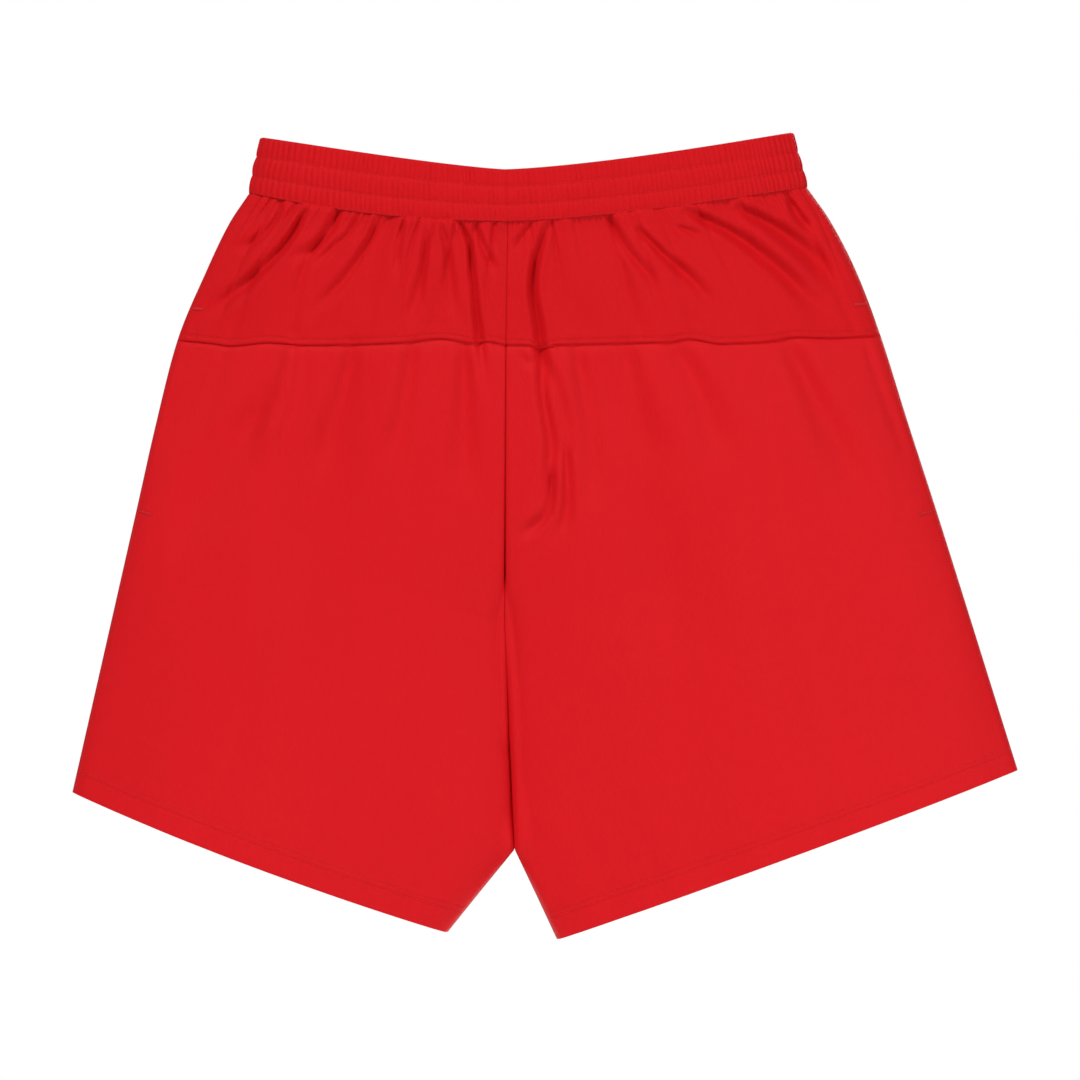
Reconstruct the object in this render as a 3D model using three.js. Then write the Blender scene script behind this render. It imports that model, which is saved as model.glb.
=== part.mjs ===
// Roomy knitted boxing shorts: gathered elastic waist, back yoke, side pockets and twin-stitched hems.
// Millimetres, +Z up. The back of the garment faces -Y and the wearer's left is -X.
// The origin is the middle of the waist opening, level with the band's top edge at mid-back.
// The shorts hang from the waist, lightly opened, so that body and legs are hollow tubes.
import * as THREE from "three";

// ---- Overall sizes. The outlines below are drawn at the base size and graded to these. ----
const BASE_WIDTH = 698.7;
const BASE_LENGTH = 595.4;
const OVERALL_WIDTH = 698.7; // outer hem corner to outer hem corner
const OVERALL_LENGTH = 595.4; // highest waist corner to lowest hem corner
const BODY_HALF_DEPTH = 45; // mid-back and mid-front to the side seams, at the waist
const LEG_HALF_DEPTH = 37; // the same, halfway across each leg
const FRONT_DIP = 12; // how far the front of the waist sits below the back
const EDGE_ROUNDING = 0.6; // power of the cross-section: 0.5 is an ellipse, 1 a sharp lens

// ---- Cloth, thread and clearances ----
const CLOTH = 0.9; // thickness of one layer of the knit
const GAP = 0.3; // between any two pieces that touch in the real garment
const LOOSE_GAP = 0.5; // where narrow pieces cross the facets of wide ones
const SEAM_HALF_GAP = GAP / 2; // each side of a seam gives up half of the gap
const THREAD = 0.5;
const ELASTIC = 1.5;
const OVERLOCK_WIDTH = 6;
const OVERLOCK_THICKNESS = 0.8;
const HEM_DEPTH = 20; // cloth turned up inside each leg
const HEM_NEEDLE_GAP = 4; // between the two rows of hem stitches
const YOKE_TOPSTITCH_RISE = 4; // above the yoke seam
const BAG_CLOTH = 0.8;
const LABEL_CLOTH = 0.4;
const BARTACK_LENGTH = 9;
const BARTACK_HEIGHT = 2;

// ---- Levels down the garment: 0 foot of the waistband, 1 yoke seam, 2 crotch, 3 hem ----
const YOKE_LEVEL = 1;
const CROTCH_LEVEL = 2;
const HEM_LEVEL = 3;
const BAND_TO_YOKE = 90; // rough lengths between levels, which turn millimetres into shares of a level
const CROTCH_TO_HEM = 230;
const POCKET_TOP_LEVEL = 0.78; // the pocket mouth lies in the side seam between these
const POCKET_FOOT_LEVEL = 2;

// ---- Outlines at the base size: [level, x, z] ----
const LEFT = {
  side: [
    [0, -205.0, -15.5],
    [0.2, -219.8, -37.7],
    [0.55, -238.3, -76.2],
    [1, -258.3, -124.3],
    [1.5, -274.5, -187],
    [2, -288.7, -250],
    [3, -336.0, -458.1],
  ],
  middle: [
    [0, -14.1, -37.7],
    [1, -15.5, -127.3],
    [2, -16.5, -335],
    [2.7, -9.1, -500.2],
    [3, -58.1, -561.3],
  ],
  bandCorner: [-196.1, 25.2],
  bandTopCurve: 1.25, // 1 is a straight line from mid-back to the corner, more is a curve
  bandFootCurve: 2.1,
  hemBow: 4,
};
const RIGHT = {
  side: [
    [0, 206.5, -11.1],
    [0.2, 224.2, -36.3],
    [0.55, 243.5, -74.0],
    [1, 261.2, -120.6],
    [1.5, 281.5, -185],
    [2, 302.5, -250],
    [3, 362.6, -441.8],
  ],
  middle: [
    [0, -14.1, -37.7],
    [1, -15.5, -127.3],
    [2, -16.5, -335],
    [2.7, -9.1, -500.2],
    [3, 21.8, -566.5],
  ],
  bandCorner: [196.1, 28.9],
  bandTopCurve: 1.4,
  bandFootCurve: 1.5,
  hemBow: 1.5,
};
const BAND_MIDDLE = [-16.3, 0]; // the band's top edge at mid-back

// ---- Fineness of the faceted surfaces ----
const COLUMN_COUNT = 12;
const YOKE_ROWS = [0, 0.2, 0.55, 1];
const PANEL_ROWS = [1, 1.25, 1.5, 1.75, 1.9, 2, 2.1, 2.25, 2.45, 2.7, 2.8];

const BACK = -1; // which way each face of the garment lies along Y
const FRONT = 1;
const COLUMN_ANGLE = Math.PI / COLUMN_COUNT; // columns are closest together at both edges of a panel
const COLUMNS = Array.from({ length: COLUMN_COUNT + 1 }, (_, i) => (1 - Math.cos(i * COLUMN_ANGLE)) / 2);

// ---- Colours ----
const RED_CLOTH = 0xda2028;
const RED_THREAD = 0xc81a22;
const RED_MESH = 0xb81820;
const WHITE_ELASTIC = 0xe8e6e0;
const WHITE_LABEL = 0xf4f2ee;

const group = new THREE.Group();
group.name = "boxing_shorts";

/** Adds a mesh with a material of its own. */
function add(name, geometry, colour, roughness = 0.75) {
  const material = new THREE.MeshStandardMaterial({ color: colour, roughness, metalness: 0 });
  const mesh = new THREE.Mesh(geometry, material);
  mesh.name = name;
  group.add(mesh);
}

/** Scales a point of the base outline to the wanted overall sizes. */
function graded(x, z) {
  return { x: (x * OVERALL_WIDTH) / BASE_WIDTH, z: (z * OVERALL_LENGTH) / BASE_LENGTH };
}

/** The point of an outline at a level, straight between the listed points. */
function along(line, level) {
  const last = Math.max(
    1,
    line.findIndex((point) => point[0] >= level - 1e-9),
  );
  const [fromLevel, fromX, fromZ] = line[last - 1];
  const [toLevel, toX, toZ] = line[last];
  const share = (level - fromLevel) / (toLevel - fromLevel);
  return graded(THREE.MathUtils.lerp(fromX, toX, share), THREE.MathUtils.lerp(fromZ, toZ, share));
}

/** Half the garment's depth at a level, with across running from the middle (0) to the side (1). */
function smoothDepth(level, across) {
  const down = Math.min(level / CROTCH_LEVEL, 1) ** 3;
  const body = BODY_HALF_DEPTH * (1 - across ** 2) ** EDGE_ROUNDING;
  const leg = LEG_HALF_DEPTH * (4 * across * (1 - across)) ** EDGE_ROUNDING;
  return Math.sqrt(THREE.MathUtils.lerp(body ** 2, leg ** 2, down));
}

/** The same depth, straight between the columns, so that every piece follows the facets of the panels. */
function depth(level, across) {
  const next = Math.max(
    1,
    COLUMNS.findIndex((column) => column >= across - 1e-9),
  );
  const share = (across - COLUMNS[next - 1]) / (COLUMNS[next] - COLUMNS[next - 1]);
  const depthBefore = smoothDepth(level, COLUMNS[next - 1]);
  return THREE.MathUtils.lerp(depthBefore, smoothDepth(level, COLUMNS[next]), share);
}

/** A point of the garment's surface seen square on, without its depth. */
function outlinePoint(half, face, level, across) {
  const middle = along(half.middle, level);
  const side = along(half.side, level);
  const curve = THREE.MathUtils.lerp(half.bandFootCurve, 1, Math.min(level, 1));
  const bow = half.hemBow * Math.max(0, level - CROTCH_LEVEL) * 4 * across * (1 - across);
  const dip = face === FRONT ? FRONT_DIP * Math.max(0, 1 - level / CROTCH_LEVEL) * (1 - across ** 2) : 0;
  const seam = Math.sign(side.x) * SEAM_HALF_GAP * (1 - across);
  return {
    x: THREE.MathUtils.lerp(middle.x, side.x, across) + seam,
    z: THREE.MathUtils.lerp(middle.z, side.z, across ** curve) - bow - dip,
  };
}

/** A closed body from triangles, turned to face out. */
function closedBody(triangles) {
  let volume = 0;
  for (const [a, b, c] of triangles) {
    volume += a.dot(new THREE.Vector3().crossVectors(b, c));
  }
  const ordered = volume > 0 ? triangles : triangles.map(([a, b, c]) => [a, c, b]);
  const geometry = new THREE.BufferGeometry().setFromPoints(ordered.flat());
  geometry.computeVertexNormals();
  return geometry;
}

/** Two triangles over four corners in order. */
function quad(a, b, c, d) {
  return [
    [a, b, c],
    [a, c, d],
  ];
}

/** A plate between two grids of points of the same shape. */
function plate(outer, inner) {
  const triangles = [];
  const lastRow = outer.length - 1;
  const lastColumn = outer[0].length - 1;
  for (let i = 0; i < lastRow; i += 1) {
    for (let j = 0; j < lastColumn; j += 1) {
      triangles.push(...quad(outer[i][j], outer[i + 1][j], outer[i + 1][j + 1], outer[i][j + 1]));
      triangles.push(...quad(inner[i][j], inner[i][j + 1], inner[i + 1][j + 1], inner[i + 1][j]));
    }
    triangles.push(...quad(outer[i][0], inner[i][0], inner[i + 1][0], outer[i + 1][0]));
    triangles.push(
      ...quad(outer[i][lastColumn], outer[i + 1][lastColumn], inner[i + 1][lastColumn], inner[i][lastColumn]),
    );
  }
  for (let j = 0; j < lastColumn; j += 1) {
    triangles.push(...quad(outer[0][j], outer[0][j + 1], inner[0][j + 1], inner[0][j]));
    triangles.push(
      ...quad(outer[lastRow][j], inner[lastRow][j], inner[lastRow][j + 1], outer[lastRow][j + 1]),
    );
  }
  return closedBody(triangles);
}

/** A ring from the loops that the corners of its section run along. */
function ring(loops) {
  const triangles = [];
  loops.forEach((loop, k) => {
    const next = loops[(k + 1) % loops.length];
    loop.forEach((point, i) => {
      const j = (i + 1) % loop.length;
      triangles.push(...quad(point, loop[j], next[j], next[i]));
    });
  });
  return closedBody(triangles);
}

/** A closed loop of 2-D points moved outwards by a distance. The loop runs anticlockwise. */
function offsetLoop(points, distance) {
  return points.map((point, i) => {
    const before = points[(i + points.length - 1) % points.length];
    const after = points[(i + 1) % points.length];
    const into = point.clone().sub(before).normalize();
    const out = after.clone().sub(point).normalize();
    const normal = new THREE.Vector2(into.y + out.y, -into.x - out.x).normalize();
    const stretch = 1 / (normal.x * into.y - normal.y * into.x);
    return point.clone().addScaledVector(normal, distance * stretch);
  });
}

/** Sorted values of a list inside two limits, with the limits themselves. */
function between(values, low, high) {
  return [low, ...values.filter((value) => value > low + 1e-6 && value < high - 1e-6), high];
}

/** A piece that lies along one face of one half, between two distances from the mid-surface. */
function facePiece({ half, face, rows, columns, low, high }) {
  const layer = (offsetAt) =>
    rows.map((level) =>
      columns.map((across) => {
        const { x, z } = outlinePoint(half, face, level, across);
        const y = Math.max(SEAM_HALF_GAP, depth(level, across) + offsetAt(level));
        return new THREE.Vector3(x, face * y, z);
      }),
    );
  return plate(layer(high), layer(low));
}

// ---- Offsets from the mid-surface to the layers of the cloth ----
const INSIDE = SEAM_HALF_GAP;
const OUTSIDE = SEAM_HALF_GAP + CLOTH;
const HEM_TOP_LEVEL = HEM_LEVEL - HEM_DEPTH / CROTCH_TO_HEM;
const HEM_STEP = 1 / CROTCH_TO_HEM;
const HEM_ROWS = [HEM_TOP_LEVEL - HEM_STEP, HEM_TOP_LEVEL, HEM_LEVEL];
const ALL_ROWS = [...YOKE_ROWS, ...PANEL_ROWS.slice(1), ...HEM_ROWS];
const SEAM_SHARE = GAP / BAND_TO_YOKE;

/** One panel of cloth. Its hem is doubled towards the inside. */
function panel(half, face, rows) {
  const low = (level) => (level >= HEM_TOP_LEVEL - 1e-9 ? INSIDE - CLOTH : INSIDE);
  return facePiece({ half, face, rows, columns: COLUMNS, low, high: () => OUTSIDE });
}

/** A row of thread across one face, outside the cloth. */
function acrossStitch(half, face, level, from, to, height) {
  const share = height / BAND_TO_YOKE / 2;
  return facePiece({
    half,
    face,
    rows: [level - share, level + share],
    columns: between(COLUMNS, from, to),
    low: () => OUTSIDE + GAP,
    high: () => OUTSIDE + GAP + THREAD,
  });
}

/** Overlocked seam allowance down an edge where front and back meet, between the two. */
function edgeTape(half, atSide, rows) {
  const inset = 1.2;
  const corners = (y) =>
    rows.map((level) => {
      const middle = outlinePoint(half, BACK, level, 0);
      const side = outlinePoint(half, BACK, level, 1);
      const width = Math.hypot(side.x - middle.x, side.z - middle.z);
      return [inset, inset + OVERLOCK_WIDTH].map((distance) => {
        const across = atSide ? 1 - distance / width : distance / width;
        const { x, z } = outlinePoint(half, BACK, level, across);
        return new THREE.Vector3(x, y, z);
      });
    });
  return plate(corners(OVERLOCK_THICKNESS / 2), corners(-OVERLOCK_THICKNESS / 2));
}

/** The outline of the waist seen from above, between the band's top edge (0) and its foot (1). */
function bandLoop(down) {
  const points = [];
  const heights = [];
  const corner = { left: graded(...LEFT.bandCorner), right: graded(...RIGHT.bandCorner) };
  const middle = graded(...BAND_MIDDLE);
  const visit = (hand, face, across) => {
    const half = hand === "left" ? LEFT : RIGHT;
    const foot = outlinePoint(half, face, 0, across);
    const dip = face === FRONT ? FRONT_DIP * (1 - across ** 2) : 0;
    const topX = THREE.MathUtils.lerp(middle.x, corner[hand].x, across);
    const topZ = THREE.MathUtils.lerp(middle.z, corner[hand].z, across ** half.bandTopCurve) - dip;
    points.push(new THREE.Vector2(THREE.MathUtils.lerp(topX, foot.x, down), face * depth(0, across)));
    heights.push(THREE.MathUtils.lerp(topZ, foot.z, down));
  };
  const outwards = COLUMNS.slice(0, -1);
  const inwards = COLUMNS.slice(1).reverse();
  outwards.forEach((across) => visit("right", BACK, across));
  inwards.forEach((across) => visit("right", FRONT, across));
  outwards.forEach((across) => visit("left", FRONT, across));
  inwards.forEach((across) => visit("left", BACK, across));
  return { points, heights };
}

/** A ring in or on the waistband. Each corner of its section is [offset outwards, share down, rise]. */
function bandRing(section) {
  return ring(
    section.map(([offset, down, rise]) => {
      const { points, heights } = bandLoop(down);
      return offsetLoop(points, offset).map(({ x, y }, i) => new THREE.Vector3(x, y, heights[i] + rise));
    }),
  );
}

/** A square section of thread for the waist rings. */
function threadSection(offset, down) {
  const half = THREAD / 2;
  return [
    [offset, down, -half],
    [offset + THREAD, down, -half],
    [offset + THREAD, down, half],
    [offset, down, half],
  ];
}

/** A row of thread round one leg, outside the cloth. */
function legStitch(half, level) {
  const middle = outlinePoint(half, BACK, level, 0);
  const side = outlinePoint(half, BACK, level, 1);
  const width = Math.hypot(side.x - middle.x, side.z - middle.z);
  const backY = (across) => -depth(level, across) - OUTSIDE;
  const backPoints = COLUMNS.map((across) => new THREE.Vector2(across * width, backY(across)));
  const frontPoints = backPoints.map(({ x, y }) => new THREE.Vector2(x, -y)).reverse();
  const outline = [...backPoints, ...frontPoints];
  const loopAt = (offset, rise) =>
    offsetLoop(outline, offset).map(({ x, y }) => {
      const across = x / width;
      const bow = half.hemBow * (level - CROTCH_LEVEL) * 4 * Math.max(0, across * (1 - across));
      return new THREE.Vector3(
        THREE.MathUtils.lerp(middle.x, side.x, across),
        y,
        THREE.MathUtils.lerp(middle.z, side.z, across) - bow + rise,
      );
    });
  const corners = [
    [GAP, -THREAD / 2],
    [GAP + THREAD, -THREAD / 2],
    [GAP + THREAD, THREAD / 2],
    [GAP, THREAD / 2],
  ];
  return ring(corners.map(([offset, rise]) => loopAt(offset, rise)));
}

// ---- Waistband: a folded casing, the elastic in it and the rows that hold it ----
const SLOT_OUTER = OUTSIDE - CLOTH;
const SLOT_INNER = SLOT_OUTER - 2 * LOOSE_GAP - ELASTIC;
const CASING_INNER = SLOT_INNER - CLOTH;
const FOOT_RISE = LOOSE_GAP; // the casing stops this far above the panels
const CASING_SECTION = [
  [OUTSIDE, 1, FOOT_RISE],
  [OUTSIDE, 0, -CLOTH],
  [OUTSIDE - CLOTH, 0, 0],
  [CASING_INNER + CLOTH, 0, 0],
  [CASING_INNER, 0, -CLOTH],
  [CASING_INNER, 1, FOOT_RISE],
  [SLOT_INNER, 1, FOOT_RISE],
  [SLOT_INNER, 0, -CLOTH - GAP],
  [SLOT_OUTER, 0, -CLOTH - GAP],
  [SLOT_OUTER, 1, FOOT_RISE],
];
const ELASTIC_OUTER = SLOT_OUTER - LOOSE_GAP;
const ELASTIC_INNER = ELASTIC_OUTER - ELASTIC;
const ELASTIC_SECTION = [
  [ELASTIC_OUTER, 1, FOOT_RISE + 1],
  [ELASTIC_OUTER, 0, -CLOTH - 2 * GAP],
  [ELASTIC_INNER, 0, -CLOTH - 2 * GAP],
  [ELASTIC_INNER, 1, FOOT_RISE + 1],
];
const WAIST_OVERLOCK_SECTION = [
  [INSIDE - GAP, 1, -GAP],
  [INSIDE - GAP, 1, -OVERLOCK_WIDTH],
  [INSIDE - GAP - OVERLOCK_THICKNESS, 1, -OVERLOCK_WIDTH],
  [INSIDE - GAP - OVERLOCK_THICKNESS, 1, -GAP],
];
add("waistband_casing", bandRing(CASING_SECTION), RED_CLOTH);
add("waistband_elastic", bandRing(ELASTIC_SECTION), WHITE_ELASTIC, 0.9);
add("waist_stitch_upper", bandRing(threadSection(OUTSIDE + GAP, 0.33)), RED_THREAD);
add("waist_stitch_lower", bandRing(threadSection(OUTSIDE + GAP, 0.68)), RED_THREAD);
add("waist_join_stitch", bandRing(threadSection(OUTSIDE + GAP, 0.97)), RED_THREAD);
add("overlock_waist", bandRing(WAIST_OVERLOCK_SECTION), RED_THREAD, 0.9);

// ---- Panels, yoke, pockets and seams of each half ----
const YOKE_TOPSTITCH_LEVEL = YOKE_LEVEL - YOKE_TOPSTITCH_RISE / BAND_TO_YOKE;
const UPPER_HEM_STITCH = HEM_LEVEL - (HEM_DEPTH - 1) / CROTCH_TO_HEM;
const LOWER_HEM_STITCH = UPPER_HEM_STITCH + HEM_NEEDLE_GAP / CROTCH_TO_HEM;
const SEAM_ROWS_TOP = (OVERLOCK_WIDTH + 3) / BAND_TO_YOKE; // seams inside start below the waist overlock
const RISE_END_LEVEL = 1.9;
const RISE_COLUMNS = [0.006, 0.03];
const BAG_ROWS = between(ALL_ROWS, POCKET_TOP_LEVEL - 0.2, POCKET_FOOT_LEVEL + 0.25);
const BAG_COLUMNS = between(COLUMNS, 0.45, 0.93);
const LABEL_ROWS = between(ALL_ROWS, SEAM_ROWS_TOP, 0.7);

/** Offsets of a piece that lies against the inside of the cloth. */
function against(thickness, gap = GAP) {
  return { low: () => INSIDE - gap - thickness, high: () => INSIDE - gap };
}

for (const [hand, half] of [["left", LEFT], ["right", RIGHT]]) {
  const yokeRows = YOKE_ROWS.map((level) => (level === YOKE_LEVEL ? level - SEAM_SHARE : level));
  add(`back_yoke_${hand}`, panel(half, BACK, yokeRows), RED_CLOTH);
  add(`back_panel_${hand}`, panel(half, BACK, [...PANEL_ROWS, ...HEM_ROWS]), RED_CLOTH);
  add(`front_panel_${hand}`, panel(half, FRONT, ALL_ROWS), RED_CLOTH);

  const reach = 1 / 250; // one millimetre as a share of a half's width
  add(`yoke_topstitch_${hand}`, acrossStitch(half, BACK, YOKE_TOPSTITCH_LEVEL, 0, 0.97, THREAD), RED_THREAD);
  const tackFrom = 0.994 - BARTACK_LENGTH * reach;
  const upperTack = acrossStitch(half, BACK, POCKET_TOP_LEVEL, tackFrom, 0.994, BARTACK_HEIGHT);
  add(`bartack_upper_${hand}`, upperTack, RED_THREAD);
  const lowerTack = acrossStitch(half, BACK, POCKET_FOOT_LEVEL, tackFrom, 0.994, BARTACK_HEIGHT);
  add(`bartack_lower_${hand}`, lowerTack, RED_THREAD);
  const mouthStitch = facePiece({
    half,
    face: FRONT,
    rows: between(ALL_ROWS, POCKET_TOP_LEVEL, POCKET_FOOT_LEVEL),
    columns: [0.972, 0.972 + THREAD * reach],
    low: () => OUTSIDE + GAP,
    high: () => OUTSIDE + GAP + THREAD,
  });
  add(`pocket_topstitch_${hand}`, mouthStitch, RED_THREAD);
  const bag = facePiece({ half, face: FRONT, rows: BAG_ROWS, columns: BAG_COLUMNS, ...against(BAG_CLOTH) });
  add(`pocket_bag_${hand}`, bag, RED_MESH, 0.9);

  add(`hem_stitch_upper_${hand}`, legStitch(half, UPPER_HEM_STITCH), RED_THREAD);
  add(`hem_stitch_lower_${hand}`, legStitch(half, LOWER_HEM_STITCH), RED_THREAD);

  const sideRows = between(ALL_ROWS, SEAM_ROWS_TOP, HEM_TOP_LEVEL - 2 * HEM_STEP);
  add(`overlock_side_${hand}`, edgeTape(half, true, sideRows), RED_THREAD, 0.9);
  const inseamRows = between(ALL_ROWS, 2.1, HEM_TOP_LEVEL - 2 * HEM_STEP);
  add(`overlock_inseam_${hand}`, edgeTape(half, false, inseamRows), RED_THREAD, 0.9);
  const yokeSeam = facePiece({
    half,
    face: BACK,
    rows: [YOKE_LEVEL, YOKE_LEVEL + OVERLOCK_WIDTH / 140],
    columns: between(COLUMNS, 0.045, 0.95),
    ...against(OVERLOCK_THICKNESS),
  });
  add(`overlock_yoke_${hand}`, yokeSeam, RED_THREAD, 0.9);
}

// ---- Seams down the middle, pressed to the wearer's right, and the label at mid-back ----
const riseRows = between(ALL_ROWS, SEAM_ROWS_TOP, RISE_END_LEVEL);
for (const [name, face] of [["back", BACK], ["front", FRONT]]) {
  const layers = against(OVERLOCK_THICKNESS, LOOSE_GAP);
  const seam = { half: RIGHT, face, rows: riseRows, columns: RISE_COLUMNS, ...layers };
  add(`overlock_${name}_rise`, facePiece(seam), RED_THREAD, 0.9);
}
const label = { half: LEFT, face: BACK, rows: LABEL_ROWS, columns: between(COLUMNS, 0.02, 0.2) };
add("care_label", facePiece({ ...label, ...against(LABEL_CLOTH, LOOSE_GAP) }), WHITE_LABEL, 0.6);

export default group;
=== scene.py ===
"""Roomy red knitted boxing shorts, hanging lightly opened from the waist.

Sizes are millimetres in the pattern and metres in the meshes. The back of the
garment faces -Y and the wearer's left is -X, as in the frame.
"""

import logging
import math
from collections.abc import Sequence
from dataclasses import dataclass, field
from enum import Enum
from typing import ClassVar

import bpy
import numpy as np
from numpy.typing import NDArray
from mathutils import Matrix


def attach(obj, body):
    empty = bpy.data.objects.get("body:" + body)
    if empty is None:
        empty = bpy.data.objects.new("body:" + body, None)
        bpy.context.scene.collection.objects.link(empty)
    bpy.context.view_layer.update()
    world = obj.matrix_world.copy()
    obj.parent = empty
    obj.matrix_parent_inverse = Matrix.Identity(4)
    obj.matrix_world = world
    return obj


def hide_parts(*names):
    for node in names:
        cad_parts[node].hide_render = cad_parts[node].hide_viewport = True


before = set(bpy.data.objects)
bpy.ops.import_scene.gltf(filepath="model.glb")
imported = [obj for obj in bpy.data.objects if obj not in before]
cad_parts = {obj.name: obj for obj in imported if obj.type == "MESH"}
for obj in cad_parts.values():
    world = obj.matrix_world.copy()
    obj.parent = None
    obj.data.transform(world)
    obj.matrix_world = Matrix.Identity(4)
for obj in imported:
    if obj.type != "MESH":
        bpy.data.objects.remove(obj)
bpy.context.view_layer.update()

Numbers = NDArray[np.float64]
LOG = logging.getLogger("boxing_shorts")
MM = 0.001
BODY = "root"
SEED = 41

# Levels down the garment, counted from 0 at the foot of the waistband.
YOKE_LEVEL = 1.0
CROTCH_LEVEL = 2.0
HEM_LEVEL = 3.0
# Rough widths of one half, mm, which turn a share across it into mm.
HALF_WIDTH = 300.0
WAIST_HALF_WIDTH = 200.0


class Face(Enum):
    """Which side of the garment a piece lies on, as its direction along Y."""

    BACK = -1.0
    FRONT = 1.0


class Hand(Enum):
    """The wearer's left or right half, as its direction along X."""

    LEFT = -1.0
    RIGHT = 1.0

    @property
    def label(self) -> str:
        """The word used in piece names."""
        return self.name.lower()


class Slot(Enum):
    """The frame's material slots."""

    KNIT = "red_knit"
    THREAD = "red_thread"
    MESH = "red_mesh"
    ELASTIC = "white_elastic"
    LABEL = "white_label"


# --------------------------------------------------------------------------- small sums


def mix(low: Numbers | float, high: Numbers | float, share: Numbers | float) -> Numbers:
    """Blend two values.

    Args:
        low: value at share 0.
        high: value at share 1.
        share: how far from low to high.

    Returns:
        The blended value.
    """
    return low + (high - low) * share


def ramp(value: Numbers, start: float, end: float) -> Numbers:
    """Rise smoothly from 0 at start to 1 at end.

    Args:
        value: where to read the ramp.
        start: where it leaves 0.
        end: where it reaches 1.

    Returns:
        The height of the ramp.
    """
    share = np.clip((value - start) / (end - start), 0.0, 1.0)
    return share * share * (3.0 - 2.0 * share)


def bell(distance: Numbers, width: float) -> Numbers:
    """A rounded bump that is 1 at distance 0 and fades over width."""
    return np.exp(-((distance / width) ** 2))


def smooth_line(stops: Sequence[float], values: Sequence[float], at: Numbers) -> Numbers:
    """Draw a curve through listed values without overshooting them.

    Args:
        stops: rising positions of the values.
        values: the values to pass through.
        at: where to read the curve.

    Returns:
        The curve's value at each place.
    """
    where = np.asarray(stops, float)
    value = np.asarray(values, float)
    rise = np.diff(value) / np.diff(where)
    slopes = np.concatenate([rise[:1], np.zeros(len(value) - 2), rise[-1:]])
    for i in range(1, len(value) - 1):
        if rise[i - 1] * rise[i] > 0:
            slopes[i] = 2 * rise[i - 1] * rise[i] / (rise[i - 1] + rise[i])
    index = np.clip(np.searchsorted(where, at, side="right") - 1, 0, len(where) - 2)
    span = where[index + 1] - where[index]
    t = (at - where[index]) / span
    return (
        (2 * t**3 - 3 * t**2 + 1) * value[index]
        + (t**3 - 2 * t**2 + t) * span * slopes[index]
        + (-2 * t**3 + 3 * t**2) * value[index + 1]
        + (t**3 - t**2) * span * slopes[index + 1]
    )


class Unevenness:
    """Seeded smooth randomness, as no two gathers in cloth are alike."""

    CELLS = 64

    def __init__(self, seed: int) -> None:
        """Fill the lattice.

        Args:
            seed: picks one repeatable pattern.
        """
        self.lattice = np.random.default_rng(seed).uniform(-1.0, 1.0, (self.CELLS, self.CELLS))

    def at(self, x: Numbers, y: Numbers | float = 0.0) -> Numbers:
        """Read the randomness, one lattice cell to a unit.

        Args:
            x: position across.
            y: position down.

        Returns:
            Values between -1 and 1.
        """
        x, y = np.broadcast_arrays(np.asarray(x, float), np.asarray(y, float))
        left = np.floor(x).astype(int)
        low = np.floor(y).astype(int)
        right_share = ramp(x - left, 0.0, 1.0)
        high_share = ramp(y - low, 0.0, 1.0)
        columns = [(left + step) % self.CELLS for step in (0, 1)]
        rows = [(low + step) % self.CELLS for step in (0, 1)]
        bottom = mix(self.lattice[rows[0], columns[0]], self.lattice[rows[0], columns[1]], right_share)
        top = mix(self.lattice[rows[1], columns[0]], self.lattice[rows[1], columns[1]], right_share)
        return mix(bottom, top, high_share)


# --------------------------------------------------------------------------- folds


@dataclass(frozen=True)
class Fold:
    """One crease in the cloth, with its lifted shoulders.

    Attributes:
        GAIN: how much deeper every crease is drawn than its depth says.
        route: points (x, z) in mm along the bottom of the crease.
        width: mm from the bottom to where it starts to rise.
        depth: mm. A negative depth is a ridge.
    """

    GAIN: ClassVar[float] = 2.4

    route: tuple[tuple[float, float], ...]
    width: float
    depth: float

    def rounded(self, steps: int = 5) -> Numbers:
        """Turn the route's corners into a curve.

        Args:
            steps: pieces between two listed points.

        Returns:
            Points along the curve.
        """
        points = np.asarray(self.route, float)
        stops = np.arange(len(points))
        at = np.linspace(0, len(points) - 1, (len(points) - 1) * steps + 1)
        return np.stack([smooth_line(stops, points[:, axis], at) for axis in (0, 1)], axis=1)

    def height(self, x: Numbers, z: Numbers) -> Numbers:
        """How far the crease moves the cloth outwards.

        Args:
            x: places across the garment, mm.
            z: heights on the garment, mm.

        Returns:
            Movement in mm, below 0 in the crease.
        """
        points = self.rounded() if len(self.route) > 2 else np.asarray(self.route, float)
        lengths = np.hypot(*np.diff(points, axis=0).T)
        total = lengths.sum()
        nearest = np.full(x.shape, 1e9)
        share = np.zeros(x.shape)
        gone = 0.0
        for start, end, length in zip(points[:-1], points[1:], lengths, strict=True):
            way = (end - start) / length
            along = np.clip((x - start[0]) * way[0] + (z - start[1]) * way[1], 0.0, length)
            distance = np.hypot(x - start[0] - along * way[0], z - start[1] - along * way[1])
            closer = distance < nearest
            nearest = np.where(closer, distance, nearest)
            share = np.where(closer, (gone + along) / total, share)
            gone += length
        fade = ramp(share, -0.1, 0.12) * ramp(1.0 - share, 0.0, 0.4)
        reach = nearest / (self.width * mix(0.6, 1.4, share))
        return -self.GAIN * self.depth * fade * (1.0 - 0.6 * reach**2) * np.exp(-(reach**2) / 2.0)


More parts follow.
